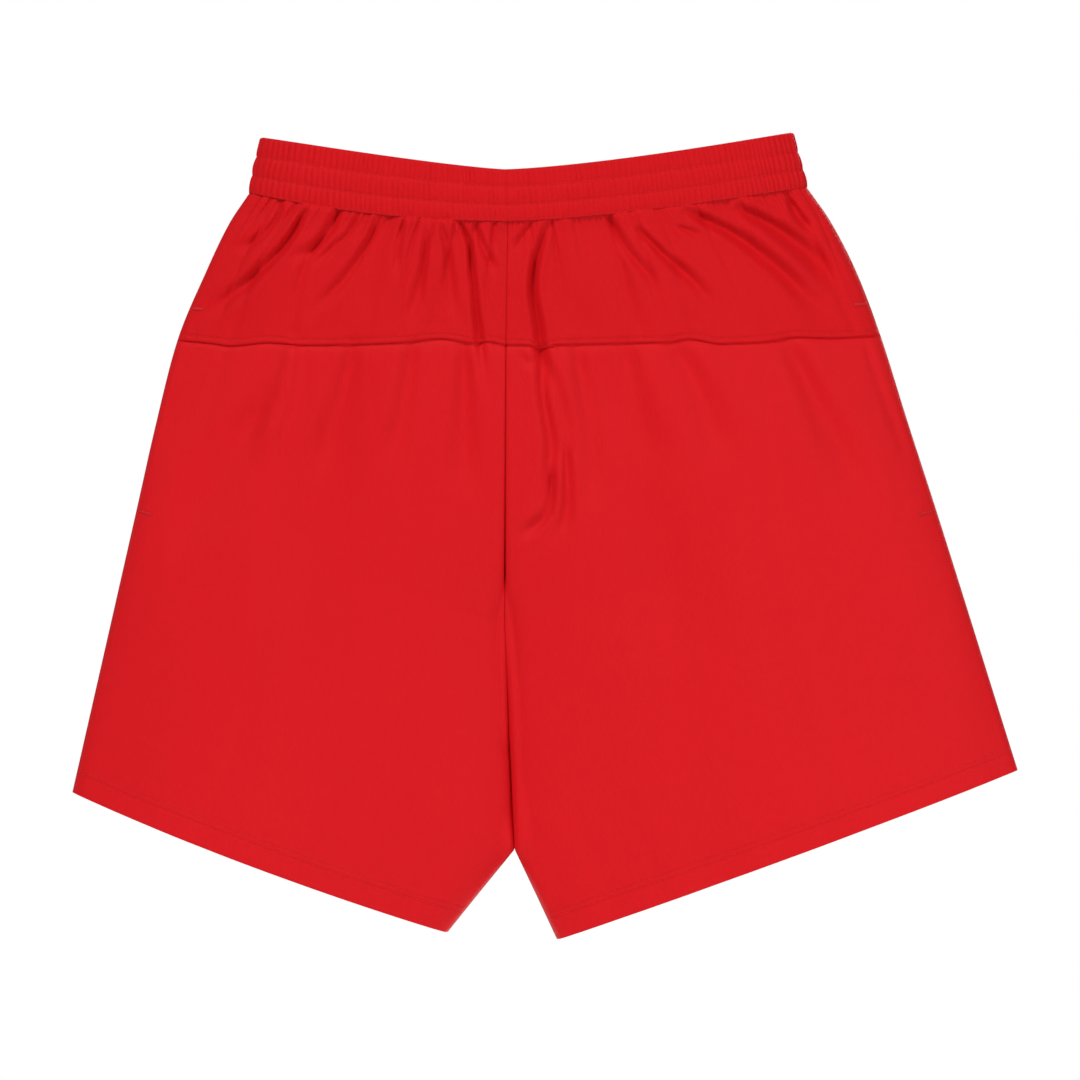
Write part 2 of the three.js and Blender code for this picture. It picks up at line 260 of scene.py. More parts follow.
BACK_FOLDS = (
    # Left of the seam, fanning down to the wearer's left.
    Fold(((-164, -30), (-173, -47), (-192, -69), (-220, -93), (-244, -113)), 4.5, 2.6),
    Fold(((-180, -22), (-187, -38), (-201, -52), (-220, -61)), 3.5, 1.7),
    Fold(((-138, -30), (-144, -44), (-159, -58), (-178, -67)), 3.5, 1.6),
    Fold(((-124, -31), (-132, -47), (-141, -55), (-164, -75)), 3.2, 1.3),
    Fold(((-110, -35), (-114, -47), (-122, -61), (-138, -84), (-164, -110)), 4.0, 1.8),
    Fold(((-91, -38), (-95, -61), (-97, -82)), 3.2, 1.2),
    Fold(((-74, -47), (-77, -75), (-84, -103), (-90, -117)), 3.8, 1.4),
    Fold(((-63, -41), (-58, -61), (-56, -89), (-51, -117)), 3.8, 1.3),
    Fold(((-50, -38), (-43, -52), (-40, -75), (-36, -115), (-34, -130), (-30, -169)), 3.0, 2.0),
    Fold(((-37, -42), (-30, -61), (-21, -78)), 3.0, 1.3),
    # Beside the seam and down the seat.
    Fold(((1, -41), (-10, -61)), 3.0, 1.2),
    Fold(
        ((15, -41), (9, -57), (4, -86), (9, -120), (12, -164), (18, -206), (9, -250), (-12, -275)),
        4.4,
        2.5,
    ),
    Fold(((19, -222), (17, -248), (4, -263), (-14, -274)), 4.4, 2.0),
    Fold(((12, -132), (29, -196), (29, -238)), 6.0, 1.5),
    Fold(((29, -205), (30, -235), (28, -255), (15, -279)), 5.0, 1.7),
    Fold(((-6, -136), (2, -142), (9, -141)), 3.4, 0.9),
    # Right of the seam, fanning down to the wearer's right.
    Fold(((60, -34), (73, -57), (92, -82), (98, -98)), 3.8, 1.6),
    Fold(((83, -44), (101, -63), (120, -79), (141, -107)), 4.2, 2.0),
    Fold(((110, -41), (120, -45), (130, -49)), 2.6, 1.0),
    Fold(((118, -30), (141, -41), (157, -50), (189, -75), (212, -98), (232, -111)), 5.6, 2.6),
    Fold(((158, -28), (181, -41), (205, -58), (232, -90)), 6.6, 3.2),
    Fold(((193, -21), (200, -34), (212, -46)), 3.6, 1.8),
    # Below the yoke.
    Fold(((107, -128), (128, -165), (137, -191), (147, -228)), 11.0, 1.7),
    Fold(((191, -128), (209, -161), (224, -191), (239, -228), (250, -265)), 11.0, 1.9),
    Fold(((249, -124), (261, -161), (276, -199), (285, -228)), 5.0, 0.9),
    Fold(((-173, -128), (-179, -161), (-190, -191), (-201, -221)), 8.0, -1.9),
    Fold(((-190, -170), (-225, -215), (-262, -300)), 16.0, 1.5),
    Fold(((-46, -132), (-46, -190), (-46, -250)), 9.0, 1.9),
    Fold(((-84, -128), (-90, -170), (-104, -230)), 8.0, 1.5),
    Fold(((-128, -128), (-138, -175), (-158, -235)), 10.0, 1.6),
    Fold(((36, -128), (44, -180), (50, -260)), 8.0, 1.4),
    Fold(((72, -128), (82, -170), (98, -230)), 10.0, 1.5),
    Fold(((-120, -135), (-150, -240), (-190, -340)), 22.0, 1.6),
    Fold(((60, -150), (90, -270), (130, -380)), 24.0, 1.8),
)
FRONT_FOLDS = (
    Fold(((-160, -34), (-176, -60), (-205, -92), (-236, -118)), 4.6, 2.4),
    Fold(((-128, -44), (-138, -66), (-166, -98)), 4.0, 1.8),
    Fold(((-84, -52), (-90, -84), (-104, -124)), 4.2, 1.6),
    Fold(((-48, -52), (-44, -90), (-50, -140)), 4.0, 1.8),
    Fold(((-34, -60), (-26, -110), (-30, -180), (-20, -250)), 5.0, 2.4),
    Fold(((10, -58), (2, -110), (8, -190), (-6, -262)), 5.0, 2.4),
    Fold(((34, -54), (32, -88), (44, -130)), 4.0, 1.6),
    Fold(((72, -48), (84, -78), (108, -112)), 4.2, 1.9),
    Fold(((120, -40), (142, -62), (180, -92)), 4.2, 2.2),
    Fold(((160, -32), (186, -54), (226, -96)), 5.0, 2.8),
    Fold(((-20, -300), (-70, -270), (-120, -262)), 9.0, 2.2),
    Fold(((-14, -300), (40, -262), (96, -250)), 9.0, 2.2),
    Fold(((-90, -160), (-120, -260), (-160, -360)), 20.0, 1.8),
    Fold(((100, -150), (130, -260), (180, -380)), 22.0, 1.8),
    Fold(((-20, -340), (-60, -400), (-90, -470)), 14.0, 1.4),
    Fold(((-10, -340), (40, -400), (80, -470)), 14.0, 1.4),
)


# --------------------------------------------------------------------------- the pattern


@dataclass(frozen=True)
class HalfPattern:
    """The outline of one half of the garment.

    Attributes:
        hand: which half it is.
        side: (level, x, z) down the side seam, mm.
        middle: (level, x, z) down the middle seam and the inseam, mm.
        corner: (x, z) of the waistband's top corner, mm.
        top_curve: 1 for a straight top edge, more for a hollow one.
        foot_curve: the same for the foot of the waistband.
        rib_pitch: mm between gathers at the side seam.
        hem_bow: mm that the hem's middle hangs below a straight line.
    """

    hand: Hand
    side: tuple[tuple[float, float, float], ...]
    middle: tuple[tuple[float, float, float], ...]
    corner: tuple[float, float]
    top_curve: float
    foot_curve: float
    rib_pitch: float
    hem_bow: float

    def side_at(self, level: Numbers) -> tuple[Numbers, Numbers]:
        """The side seam's x and z at a level, mm."""
        stops, x, z = zip(*self.side, strict=True)
        return smooth_line(stops, x, level), smooth_line(stops, z, level)

    def middle_at(self, level: Numbers) -> tuple[Numbers, Numbers]:
        """The middle seam's or inseam's place at a level, carried on straight past both its ends.

        Args:
            level: how far down.

        Returns:
            x and z in mm.
        """
        stops, x, z = (np.array(row) for row in zip(*self.middle, strict=True))
        past = np.maximum(level - stops[-1], 0.0)
        last = stops[-1] - stops[-2]
        edge_x = np.interp(level, stops, x) + past * (x[-1] - x[-2]) / last
        edge_z = np.interp(level, stops, z) + past * (z[-1] - z[-2]) / last
        above = np.minimum(level, 0.0)
        return edge_x, edge_z - above * (z[0] - z[1])


MIDDLE_SEAM = (
    (0.0, -14.1, -37.7),
    (1.0, -15.5, -127.3),
    (2.0, -16.5, -335.0),
    (2.7, -9.1, -500.2),
)
LEFT_HALF = HalfPattern(
    hand=Hand.LEFT,
    side=(
        (0.0, -205.0, -15.5),
        (0.2, -219.8, -37.7),
        (0.55, -238.3, -76.2),
        (1.0, -258.3, -124.3),
        (1.5, -274.5, -187.0),
        (2.0, -288.7, -250.0),
        (3.0, -336.0, -458.1),
    ),
    middle=(*MIDDLE_SEAM, (3.0, -58.1, -561.3)),
    corner=(-196.1, 25.2),
    top_curve=1.25,
    foot_curve=2.1,
    rib_pitch=4.3,
    hem_bow=4.0,
)
RIGHT_HALF = HalfPattern(
    hand=Hand.RIGHT,
    side=(
        (0.0, 206.5, -11.1),
        (0.2, 224.2, -36.3),
        (0.55, 243.5, -74.0),
        (1.0, 261.2, -120.6),
        (1.5, 281.5, -185.0),
        (2.0, 302.5, -250.0),
        (3.0, 362.6, -441.8),
    ),
    middle=(*MIDDLE_SEAM, (3.0, 21.8, -566.5)),
    corner=(196.1, 28.9),
    top_curve=1.4,
    foot_curve=1.5,
    rib_pitch=3.5,
    hem_bow=1.5,
)
HALVES = {Hand.LEFT: LEFT_HALF, Hand.RIGHT: RIGHT_HALF}


@dataclass
class HungCloth:
    """The shape that all the cloth follows: two lightly opened tubes joined at the seat.

    A place is given by its level (0 foot of the waistband, 1 yoke seam, 2 crotch, 3 hem)
    and by across, from the middle (0) to the side seam (1).

    Attributes:
        body_depth: mm from the plane of the side seams to mid-back, at the waist.
        leg_depth: the same, halfway across each leg.
        side_rounding: power of the cross-section: 0.5 is an ellipse, 1 a sharp lens.
        inseam_rounding: the same beside the inseam, where the legs are blunter.
        cloth_middle: mm from the plane of the seams to the middle of the cloth.
        least_out: mm that the cloth always stays off that plane, except at a seam.
        lap: mm that a panel's edge passes the plane of its seam.
        front_stand: mm that the front's edge stands off that of the back along the inseam.
        halves_gap: mm from the middle seam to the edge of either half.
        seam_fade: mm beside a seam over which the cloth closes on it.
        front_dip: mm that the front of the waist sits below the back.
        band_middle: (x, z) of the waistband's top edge at mid-back, mm.
        level_lengths: mm between two levels, from the waistband down.
        hem_depth: mm of cloth turned up inside each leg.
        inseam_press: mm behind the plane of the side seams at which the legs touch.
        turned_in: mm that each leg's edge is turned in near the foot of the inseam.
        topstitch_gap: mm from the yoke seam up to its topstitch.
        hem_rows: mm from the hem up to each row of stitches.
        yoke_wave: (x, rise) of the yoke seam's own ups and downs, mm.
        gathers: (mm from one to the next, mm that they reach down, mm deep), size by size.
        rib_pitch: mm from one gather of the waistband to the next, at the middle.
        wide_waves: (mm high, mm across, mm down) of the cloth's slow waves.
        small_waves: the same for its small ones.
        seam_sink: (mm deep, mm to each side) of the groove at the middle seam.
        seam_shoulder: (mm high, mm away, mm to each side) of the cloth beside it.
        stitch_dent: mm that a row of stitches presses in.
        hem_waves: (mm high, waves to a panel) of the hem's wide and fine ups and downs.
        noise: the seeded randomness of each kind of ripple.
    """

    body_depth: float = 45.0
    leg_depth: float = 37.0
    side_rounding: float = 0.6
    inseam_rounding: float = 0.22
    cloth_middle: float = 0.6
    least_out: float = 0.2
    lap: float = 0.1
    front_stand: float = 0.4
    halves_gap: float = 0.1
    seam_fade: float = 0.8
    front_dip: float = 12.0
    band_middle: tuple[float, float] = (-16.3, 0.0)
    level_lengths: tuple[float, float, float] = (90.0, 165.0, 230.0)
    hem_depth: float = 20.5
    inseam_press: float = 24.0
    turned_in: tuple[float, float] = (9.0, 2.0)
    topstitch_gap: float = 3.3
    hem_rows: tuple[float, float] = (19.3, 15.3)
    yoke_wave: tuple[tuple[float, float], ...] = (
        (-258, 0.0),
        (-231, -2.5),
        (-219, -4.0),
        (-190, -1.4),
        (-165, -3.0),
        (-94, -0.6),
        (-63, 2.8),
        (-38, -0.4),
        (-28, 1.0),
        (-16, -1.0),
        (1, -1.8),
        (10, -5.4),
        (21, -2.0),
        (104, -2.0),
        (118, 0.0),
        (143, -4.0),
        (174, -3.4),
        (198, -0.4),
        (225, -1.5),
        (261, 0.0),
    )
    gathers: tuple[tuple[float, float, float], ...] = (
        (4.2, 14.0, 0.75),
        (7.5, 26.0, 1.4),
        (14.0, 60.0, 2.5),
        (30.0, 110.0, 3.0),
    )
    rib_pitch: float = 3.9
    wide_waves: tuple[float, float, float] = (2.4, 52.0, 170.0)
    small_waves: tuple[float, float, float] = (0.35, 26.0, 38.0)
    seam_sink: tuple[float, float] = (0.42, 0.7)
    seam_shoulder: tuple[float, float, float] = (0.4, 4.0, 2.6)
    stitch_dent: float = 0.18
    hem_waves: tuple[tuple[float, float], tuple[float, float]] = ((0.9, 14.0), (0.3, 44.0))
    noise: dict[str, Unevenness] = field(default_factory=dict)

    def __post_init__(self) -> None:
        """Seed the randomness of every kind of ripple."""
        for i, name in enumerate(("ribs", "gathers", "soft", "pucker", "hem", "tunnel")):
            self.noise[name] = Unevenness(SEED + i)

    def depth(self, level: Numbers, across: Numbers) -> Numbers:
        """Half the garment's depth.

        Args:
            level: how far down.
            across: how far from the middle to the side.

        Returns:
            mm from the plane of the side seams to the cloth.
        """
        down = np.clip(level / CROTCH_LEVEL, 0.0, 1.0) ** 3
        body = self.body_depth * np.maximum(1.0 - across**2, 0.0) ** self.side_rounding
        rounding = mix(self.inseam_rounding, self.side_rounding, ramp(across, 0.12, 0.75))
        leg = self.leg_depth * np.maximum(4.0 * across * (1.0 - across), 0.0) ** rounding
        return np.sqrt(mix(body**2, leg**2, down))

    def flat_place(
        self, half: HalfPattern, face: Face, level: Numbers, across: Numbers
    ) -> tuple[Numbers, Numbers]:
        """Where a place lies when the garment is seen square on.

        Args:
            half: the half it is on.
            face: the back or the front.
            level: how far down.
            across: how far from the middle to the side.

        Returns:
            x and z in mm.
        """
        middle_x, middle_z = half.middle_at(level)
        side_x, side_z = half.side_at(level)
        curve = mix(half.foot_curve, 1.0, np.clip(level, 0.0, 1.0))
        bow = half.hem_bow * np.clip(level - CROTCH_LEVEL, 0.0, 1.1) * 4.0 * across * (1.0 - across)
        x = mix(middle_x, side_x, across)
        z = mix(middle_z, side_z, np.maximum(across, 0.0) ** curve) - bow
        if face is Face.FRONT:
            z = z - self.front_dip * np.clip(1.0 - level / CROTCH_LEVEL, 0.0, 1.0) * (1.0 - across**2)
        else:
            stops, waves = zip(*self.yoke_wave, strict=True)
            wave = smooth_line(stops, waves, np.clip(x, stops[0], stops[-1]))
            z = z + wave * bell(level - YOKE_LEVEL, 0.3)
        return x, z

    def rib_phase(self, half: HalfPattern, across: Numbers) -> Numbers:
        """Which gather of the waistband a place is on.

        Args:
            half: the half it is on.
            across: how far from the middle to the side.

        Returns:
            How many gathers it is from the middle, below 0 on the wearer's left.
        """
        hand = half.hand.value
        width = WAIST_HALF_WIDTH * across
        pitch = mix(self.rib_pitch, half.rib_pitch, across)
        wander = 0.4 * self.noise["ribs"].at(hand * width / 12.0 + 30.0, hand + 3.0)
        return hand * width / pitch + wander * ramp(width, 0.0, 6.0)

    def gather_height(self, half: HalfPattern, face: Face, level: Numbers, across: Numbers) -> Numbers:
        """Ripples that hang from the waistband and die out below it.

        Args:
            half: the half they are on.
            face: the back or the front.
            level: how far down.
            across: how far from the middle to the side.

        Returns:
            mm outwards.
        """
        down = level * self.level_lengths[0]
        place = half.hand.value * 205.0 * across + face.value * 300.0
        drift = 5.0 * self.noise["soft"].at(place / 40.0, down / 45.0)
        height = np.zeros(np.broadcast(level, across).shape)
        for i, (pitch, reach, size) in enumerate(self.gathers):
            wave = self.noise["gathers"].at((place + drift) / pitch + 0.37 * i, i * 7.0 + down / 160.0)
            creased = 0.6 * wave - 0.9 * bell(wave, 0.22)
            height = height + size * creased * np.exp(-((np.maximum(down, 0.0) / reach) ** 1.4))
        ribs = 0.4 * np.cos(2.0 * math.pi * self.rib_phase(half, across)) * np.exp(-((down / 9.0) ** 2))
        return height + ribs + 0.9 * bell(down - 2.5, 5.0)

    def ripple(
        self, half: HalfPattern, face: Face, level: Numbers, across: Numbers, x: Numbers, z: Numbers
    ) -> Numbers:
        """Everything that moves the cloth off its plain hung shape.

        Args:
            half: the half it is on.
            face: the back or the front.
            level: how far down.
            across: how far from the middle to the side.
            x: places across the garment, mm.
            z: heights on the garment, mm.

        Returns:
            mm outwards.
        """
        side_x, side_z = half.side_at(level)
        middle_x, middle_z = half.middle_at(level)
        width = np.hypot(side_x - middle_x, side_z - middle_z)
        to_side = (1.0 - across) * width
        to_middle = across * width
        folds = np.zeros(x.shape)
        for fold in BACK_FOLDS if face is Face.BACK else FRONT_FOLDS:
            folds += fold.height(x, z)
        lie = 1.0 if face is Face.BACK else 40.0
        high, wide, long = self.small_waves
        small = high * self.noise["soft"].at(x / wide + 9.0 * lie, z / long)
        high, wide, long = self.wide_waves
        soft = high * self.noise["soft"].at(x / wide + lie, z / long) + small * ramp(level, 0.6, 1.3)
        height = folds + soft * ramp(level, 0.2, 1.1) + self.gather_height(half, face, level, across)
        height = height * (1.0 - bell(to_side, 7.0)) * ramp(level, -0.035, 0.03)
        inseam = ramp(level, 1.75, 2.05)
        height = height * (1.0 - inseam * bell(to_middle, 7.0))
        return height + self.seam_height(half, face, level, across, to_side, to_middle)

    def seam_height(
        self,
        half: HalfPattern,
        face: Face,
        level: Numbers,
        across: Numbers,
        to_side: Numbers,
        to_middle: Numbers,
    ) -> Numbers:
        """How seams, hems and rows of stitches press or lift the cloth.

        Args:
            half: the half it is on.
            face: the back or the front.
            level: how far down.
            across: how far from the middle to the side.
            to_side: mm to the side seam.
            to_middle: mm to the middle seam or the inseam.

        Returns:
            mm outwards.
        """
        hand = half.hand.value
        groove = -self.seam_sink[0] * bell(to_middle, self.seam_sink[1])
        high, away, wide = self.seam_shoulder
        shoulder = high * bell(to_middle - away, wide)
        pucker = 0.22 * self.noise["pucker"].at(level * 24.0, face.value + hand) * bell(to_middle - 3.0, 4.0)
        height = (groove + shoulder + pucker) * (1.0 - ramp(level, 1.85, 2.02))
        height = height - 0.6 * bell(to_side - 1.4, 1.0)
        if face is Face.BACK:
            height = height + self.yoke_seam_height(half, level, across)
        above_hem = (HEM_LEVEL - level) * self.level_lengths[2]
        height = height + 0.4 * ramp(self.hem_depth - above_hem, -0.4, 1.6)
        for row in self.hem_rows:
            height = height - self.stitch_dent * bell(above_hem - row, 0.8)
        (high, count), (low, many) = self.hem_waves
        slow = high * self.noise["hem"].at(hand * across * count, face.value * 3.0)
        fine = low * self.noise["hem"].at(hand * across * many, face.value * 5.0 + 11.0)
        return height + (slow + fine) * ramp(level, 2.7, HEM_LEVEL) * (1.0 - bell(to_side, 9.0))

    def yoke_seam_height(self, half: HalfPattern, level: Numbers, across: Numbers) -> Numbers:
        """How the yoke's folded edge stands over the panel below it, with its row of topstitch.

        Args:
            half: the half it is on.
            level: how far down.
            across: how far from the middle to the side.

        Returns:
            mm outwards.
        """
        below = (level - YOKE_LEVEL) * self.level_lengths[0]
        folded_edge = 0.75 * ramp(-below, -0.2, 0.6) * bell(below + 0.2, 7.0)
        step_down = 1.7 * ramp(below, -0.4, 0.3) * bell(below, 1.6)
        stitched = 0.4 * bell(below + self.topstitch_gap, 0.8)
        pucker = 0.22 * self.noise["pucker"].at(half.hand.value * across * 42.0, 5.0 + level)
        return folded_edge - step_down - stitched + pucker * bell(below + 3.0, 6.0)

    def inseam_edge(self, half: HalfPattern, level: Numbers, across: Numbers) -> Numbers:
        """How far behind the side seams the legs' touching edges lie, mm.

        Args:
            half: the half they are on.
            level: how far down.
            across: how far from the middle to the side.

        Returns:
            The distance, and 0 where the legs don't touch.
        """
        touching = ramp(level, 1.45, 1.85) * (1.0 - ramp(level, 2.68, 2.9))
        from_middle = across * HALF_WIDTH
        turned_in = self.turned_in[0 if half.hand is Hand.LEFT else 1]
        groove = mix(0.6, 4.0, ramp(level, 1.95, 2.3)) * bell(from_middle, 2.0)
        dip = turned_in * bell(level - 2.5, 0.16) * bell(from_middle, 7.0)
        waver = 1.2 * self.noise["soft"].at(level * 9.0, 31.0)
        rounded = ramp(from_middle, 60.0, 0.0)
        return np.maximum(touching * (self.inseam_press + waver - groove - dip) * rounded, 0.0)

    def places(
        self, half: HalfPattern, face: Face, level: Numbers, across: Numbers, lift: Numbers | float = 0.0
    ) -> Numbers:
        """Points on the cloth.

        Args:
            half: the half they are on.
            face: the back or the front.
            level: how far down each is.
            across: how far from the middle to the side each is.
            lift: mm outwards from the middle of the cloth.

        Returns:
            Points in metres, as an array with x, y, z last.
        """
        level, across = np.broadcast_arrays(np.asarray(level, float), np.asarray(across, float))
        x, z = self.flat_place(half, face, level, across)
        out = self.depth(level, across) + self.cloth_middle
        out = out + self.ripple(half, face, level, across, x, z) + lift
        out = np.maximum(out, self.least_out)
        edge = self.inseam_edge(half, level, across)
        from_middle = across * HALF_WIDTH
        if face is Face.BACK:
            out = np.maximum(out, edge)
            closed = bell(from_middle, self.seam_fade) * ramp(level, CROTCH_LEVEL, 2.1)
            out = mix(out, edge - self.lap, closed)
        else:
            closed = bell(from_middle, 2.0 * self.seam_fade) * ramp(level, 1.85, CROTCH_LEVEL)
            out = mix(out, self.front_stand - edge, closed)
        out = mix(out, -self.lap, bell((1.0 - across) * HALF_WIDTH, self.seam_fade))
        x = x + half.hand.value * self.halves_gap * (1.0 - across)
        return np.stack([x, face.value * out, z], axis=-1) * MM

    def frames(
        self, half: HalfPattern, face: Face, level: Numbers, across: Numbers, lift: float
    ) -> tuple[Numbers, Numbers]:
        """Points lifted squarely off the cloth, with the cloth's outward direction there.

        Args:
            half: the half they are on.
            face: the back or the front.
            level: how far down each is.
            across: how far from the middle to the side each is.
            lift: mm off the middle of the cloth.

        Returns:
            Points in metres and unit normals.
        """
        step = 0.002
        here = self.places(half, face, level, across)
        above = self.places(half, face, level - step, across)
        below = self.places(half, face, level + step, across)
        beside = self.places(half, face, level, np.minimum(across + step, 1.0))
        normal = np.cross(below - above, beside - here)
        normal /= np.linalg.norm(normal, axis=-1, keepdims=True) + 1e-12
        normal *= np.where(normal[..., 1:2] * face.value < 0, -1.0, 1.0)
        return here + normal * lift * MM, normal


# --------------------------------------------------------------------------- meshes


class ClothMesh:
    """Collects faces of one piece, with the cloth's own grain as its UV map, in metres."""

    def __init__(self, name: str) -> None:
        """Start an empty piece.

        Args:
            name: the finished object's name.
        """
        self.name = name
        self.points: list[Numbers] = []
        self.grain: list[Numbers] = []
        self.faces: list[NDArray[np.int64]] = []
        self.count = 0

    def add_grid(self, points: Numbers, grain: Numbers, closed: bool = False) -> None:
        """Add a sheet of quads.

        Args:
            points: rows by columns by 3, metres.
            grain: rows by columns by 2, metres along and across the cloth.
            closed: join the last column to the first.
        """
        rows, columns = points.shape[:2]
        index = np.arange(rows * columns).reshape(rows, columns) + self.count
        if closed:
            index = np.concatenate([index, index[:, :1]], axis=1)
        quads = np.stack([index[:-1, :-1], index[1:, :-1], index[1:, 1:], index[:-1, 1:]], axis=-1)
        self.points.append(points.reshape(-1, 3))
        self.grain.append(grain.reshape(-1, 2))
        self.faces.append(quads.reshape(-1, 4))
        self.count += rows * columns

    def add_thread(self, path: Numbers, radius: float, sides: int = 6) -> None:
        """Add a rounded length of thread.

        Args:
            path: points along it, metres.
            radius: its half thickness, metres.
            sides: facets round it.
        """
        along = np.gradient(path, axis=0)
        along /= np.linalg.norm(along, axis=1, keepdims=True) + 1e-12
        up = np.where(np.abs(along[:, 1:2]) > 0.9, (0.0, 0.0, 1.0), (0.0, 1.0, 0.0))
        first = np.cross(along, up)
        first /= np.linalg.norm(first, axis=1, keepdims=True) + 1e-12
        second = np.cross(along, first)
        share = np.linspace(0.0, 1.0, len(path))
        taper = np.sqrt(np.clip(1.0 - np.abs(2.0 * share - 1.0) ** 6, 0.0, 1.0)) * 0.85 + 0.15
        turn = np.linspace(0.0, 2.0 * math.pi, sides, endpoint=False)
        ring = first[:, None] * np.cos(turn)[None, :, None] + second[:, None] * np.sin(turn)[None, :, None]
        points = path[:, None] + ring * radius * taper[:, None, None]
        start = self.count
        self.add_grid(points, np.zeros((*points.shape[:2], 2)), closed=True)
        ends = np.stack([path[0] - along[0] * radius * 0.4, path[-1] + along[-1] * radius * 0.4])
        self.points.append(ends)
        self.grain.append(np.zeros((2, 2)))
        last = start + (len(path) - 1) * sides
        for end, base, turned in ((self.count, start, True), (self.count + 1, last, False)):
            rim = base + np.arange(sides)
            after = base + (np.arange(sides) + 1) % sides
            first, second = (rim, after) if turned else (after, rim)
            self.faces.append(np.stack([np.full(sides, end), first, second, second], axis=1))
        self.count += 2

    def add_zigzag(self, corners: Numbers, radius: float, sides: int = 5) -> None:
        """Add a thread that turns at each corner.

        Args:
            corners: its turning points, metres.
            radius: its half thickness, metres.
            sides: facets round it.
        """
        shares = np.array([0.0, 0.12, 0.5, 0.88])
        legs = corners[:-1, None] + (corners[1:] - corners[:-1])[:, None] * shares[None, :, None]
        self.add_thread(legs.reshape(-1, 3), radius, sides)

    def finish(
        self, material: bpy.types.Material, node: str, slot: Slot, thickness: float = 0.0
    ) -> bpy.types.Object:
        """Make the object and let it stand for its node of the frame.

        Args:
            material: its finish.
            node: the frame's node that it stands for.
            slot: the material slot that it takes; not used.
            thickness: mm of cloth to give a sheet, or 0 where the piece is already solid.

        Returns:
            The new object, riding on the garment's one body.
        """
        points = np.concatenate(self.points)
        quads = np.concatenate(self.faces)
        faces = [tuple(dict.fromkeys(quad)) for quad in quads.tolist()]
        mesh = bpy.data.meshes.new(self.name)
        mesh.from_pydata(points.tolist(), [], faces)
        loops = np.empty(len(mesh.loops), np.int32)
        mesh.loops.foreach_get("vertex_index", loops)
        layer = mesh.uv_layers.new(name="grain")
        layer.data.foreach_set("uv", np.concatenate(self.grain)[loops].ravel())
        mesh.shade_smooth()
        mesh.materials.append(material)
        obj = bpy.data.objects.new(self.name, mesh)
        bpy.context.scene.collection.objects.link(obj)
        if thickness:
            skin = obj.modifiers.new("cloth thickness", "SOLIDIFY")
            skin.thickness = thickness * MM
            skin.offset = 0.0
            skin.use_even_offset = False
        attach(obj, BODY)
        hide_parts(node)
        LOG.info("%s: %d faces", self.name, len(faces))
        return obj


# --------------------------------------------------------------------------- finishes

Colour = tuple[float, float, float]
UNSTRETCHED = (1.0, 1.0, 1.0)


